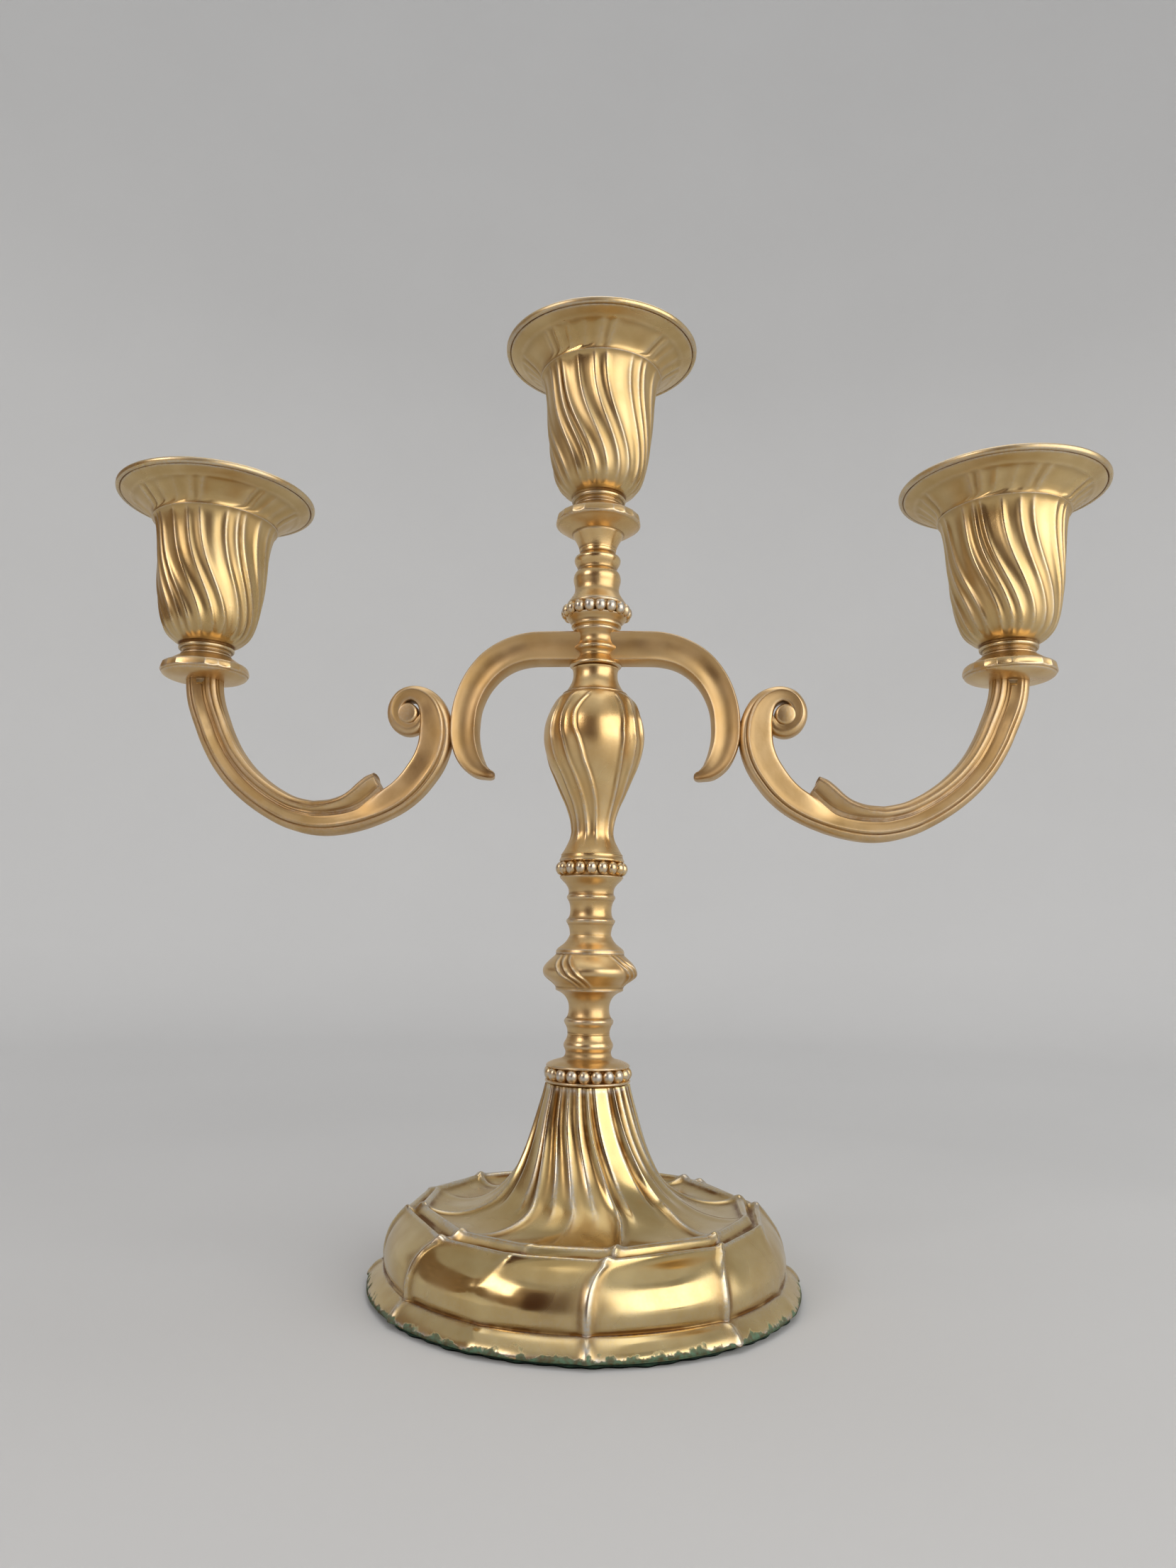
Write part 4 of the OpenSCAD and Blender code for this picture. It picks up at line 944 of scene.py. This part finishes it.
# Columns crowd at the sharp ridges: the stretch of ridge_half either side of one gets ridge_share of the
# quarter's 90 shares, and the stretch beyond it wide_share.
columns = 4 * 96
ridge_half = 2.6
wide_share, ridge_share = 17, 13
real_half = [sharp_at - ridge_half, sharp_at + ridge_half, soft_at]
even_half = [soft_at - wide_share - ridge_share, soft_at - wide_share, soft_at]
quarter_real = np.array([-edge for edge in reversed(real_half)] + real_half)
quarter_even = np.array([-edge for edge in reversed(even_half)] + even_half)
flute_half = [middle_flute, sharp_at, (sharp_at + soft_at) / 2, soft_at]
flute_edges = np.array([-edge for edge in reversed(flute_half)] + flute_half)


def foot_lobes(row, angle):
    """Strikes lobes, pillows, ridges, flutes and swirl into the foot."""
    radius, height, flat, pillow, ridge, swirl, flute = row
    quarter = np.rint(angle / 90)
    even = angle - 90 * quarter
    real = np.interp(even, quarter_even, quarter_real)
    off = np.abs(real)
    chord = np.where(
        off < sharp_at,
        cos(radians(sharp_at)) / np.cos(np.radians(off)),
        cos(radians((soft_at - sharp_at) / 2)) / np.cos(np.radians(off - (soft_at + sharp_at) / 2)),
    )
    edge = np.clip(np.searchsorted(flute_edges, real, side="right") - 1, 0, len(flute_edges) - 2)
    across = (real - flute_edges[edge]) / (flute_edges[edge + 1] - flute_edges[edge])
    middle_share = (real + sharp_at) / (2 * sharp_at)
    pillow_share = np.where(off < sharp_at, middle_share, (off - sharp_at) / (soft_at - sharp_at))
    plump = pillow_lift * (1 - np.abs(2 * pillow_share - 1) ** 3.2) * pillow
    crest = np.exp(-(((off - sharp_at) * np.maximum(radius, 18) / ridge_reach) ** 2))
    rib = soft_rib_lift * np.exp(-(((off - soft_at) * radius / soft_rib_reach) ** 2))
    depth = np.minimum(flute_limit, flute_share * radius) * np.where(off < middle_flute, 0.5, 1)
    groove = np.sin(pi * across) * np.clip(flute, 0, 1) * depth
    outside = ridge > 0
    lift = np.where(outside, ridge_lift * ridge * (crest + rib) + plump - groove, 0)
    flat = np.clip(flat, 0, 1)
    new_radius = radius * (1 - flat + flat * chord)
    # The lift goes outwards on the panels and the trumpet, and upwards on the rings and the dish.
    steep = np.clip((height - 20) / 8, 0, 1) + (height < 17.6)
    out = np.clip(np.where(outside, steep, 0), 0, 1)
    new_angle = real + 90 * quarter + lobe_centre + swirl
    return new_radius + lift * out, new_angle, height + lift * (1 - out) * outside


foot = turned("foot_shell_gilt", foot_rows, columns)
chase(foot, foot_rows, foot_lobes)
mark_wear(foot, 0.8)
mirror_gilding = gilt_brass(
    "mirror_gilding", (0.68, 0.52, 0.25), (0.58, 0.41, 0.17),
    roughness=0.1, grain=0.001, wear=0.45, grime_and_shade_share=1, smudge=0.2, crust_h=2.6,
)
foot.data.materials.append(mirror_gilding)
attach(foot, "stand")
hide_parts("foot_shell")


# ---- Fixings, ballast and baize ----
# Hidden or barely seen: steel rod, studs, nut, washer and closing plate and the cast-iron ballast ring,
# which keep the frame's own shapes, and green baize glued under the foot, cut by hand and a bit frayed.
steel = plain_finish("plain_steel", [0.42, 0.43, 0.45], 0.35, 300, 0.15)
steel.node_tree.nodes["Principled BSDF"].inputs["Metallic"].default_value = 1
iron = plain_finish("cast_iron", [0.06, 0.06, 0.065], 0.7, 400, 0.4)
# The felt's own dark green, darkened further as painted shade under the foot's rim.
baize = plain_finish("green_baize_painted_shade", [0.012, 0.032, 0.018], 1, 900, 0.6)
for node, finish in (
    ("tie_rod", steel), ("left_stud", steel), ("right_stud", steel), ("rod_nut", steel),
    ("rod_washer", steel), ("base_plate", steel), ("foot_weight", iron),
):
    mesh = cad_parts[node].data
    mesh.materials.clear()
    mesh.materials.append(finish)

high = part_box("baize_pad")[1]
pad_r, pad_t = high.x / mm, high.z / mm
calm_r = 40
fray = 0.25
pad_rows = [
    [0, 0], [20, 0], [calm_r, 0], [pad_r - 2, 0], [pad_r - 1.6, 0.3 * pad_t], [pad_r - 1.7, 0.7 * pad_t],
    [pad_r - 2, pad_t], [calm_r, pad_t], [20, pad_t], [0, pad_t],
]


def frayed(row, angle):
    """Lets the cut edge of the baize wander in and out."""
    radius, height = row
    turn = np.radians(angle)
    wander = np.sin(23 * turn) + np.sin(61 * turn + radians(40)) + np.sin(7 * turn)
    return radius + fray * wander * (radius > calm_r), angle, height


pad = turned("baize_felt", pad_rows, 360)
chase(pad, pad_rows, frayed)
pad.data.materials.append(baize)
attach(pad, "stand")
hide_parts("baize_pad")
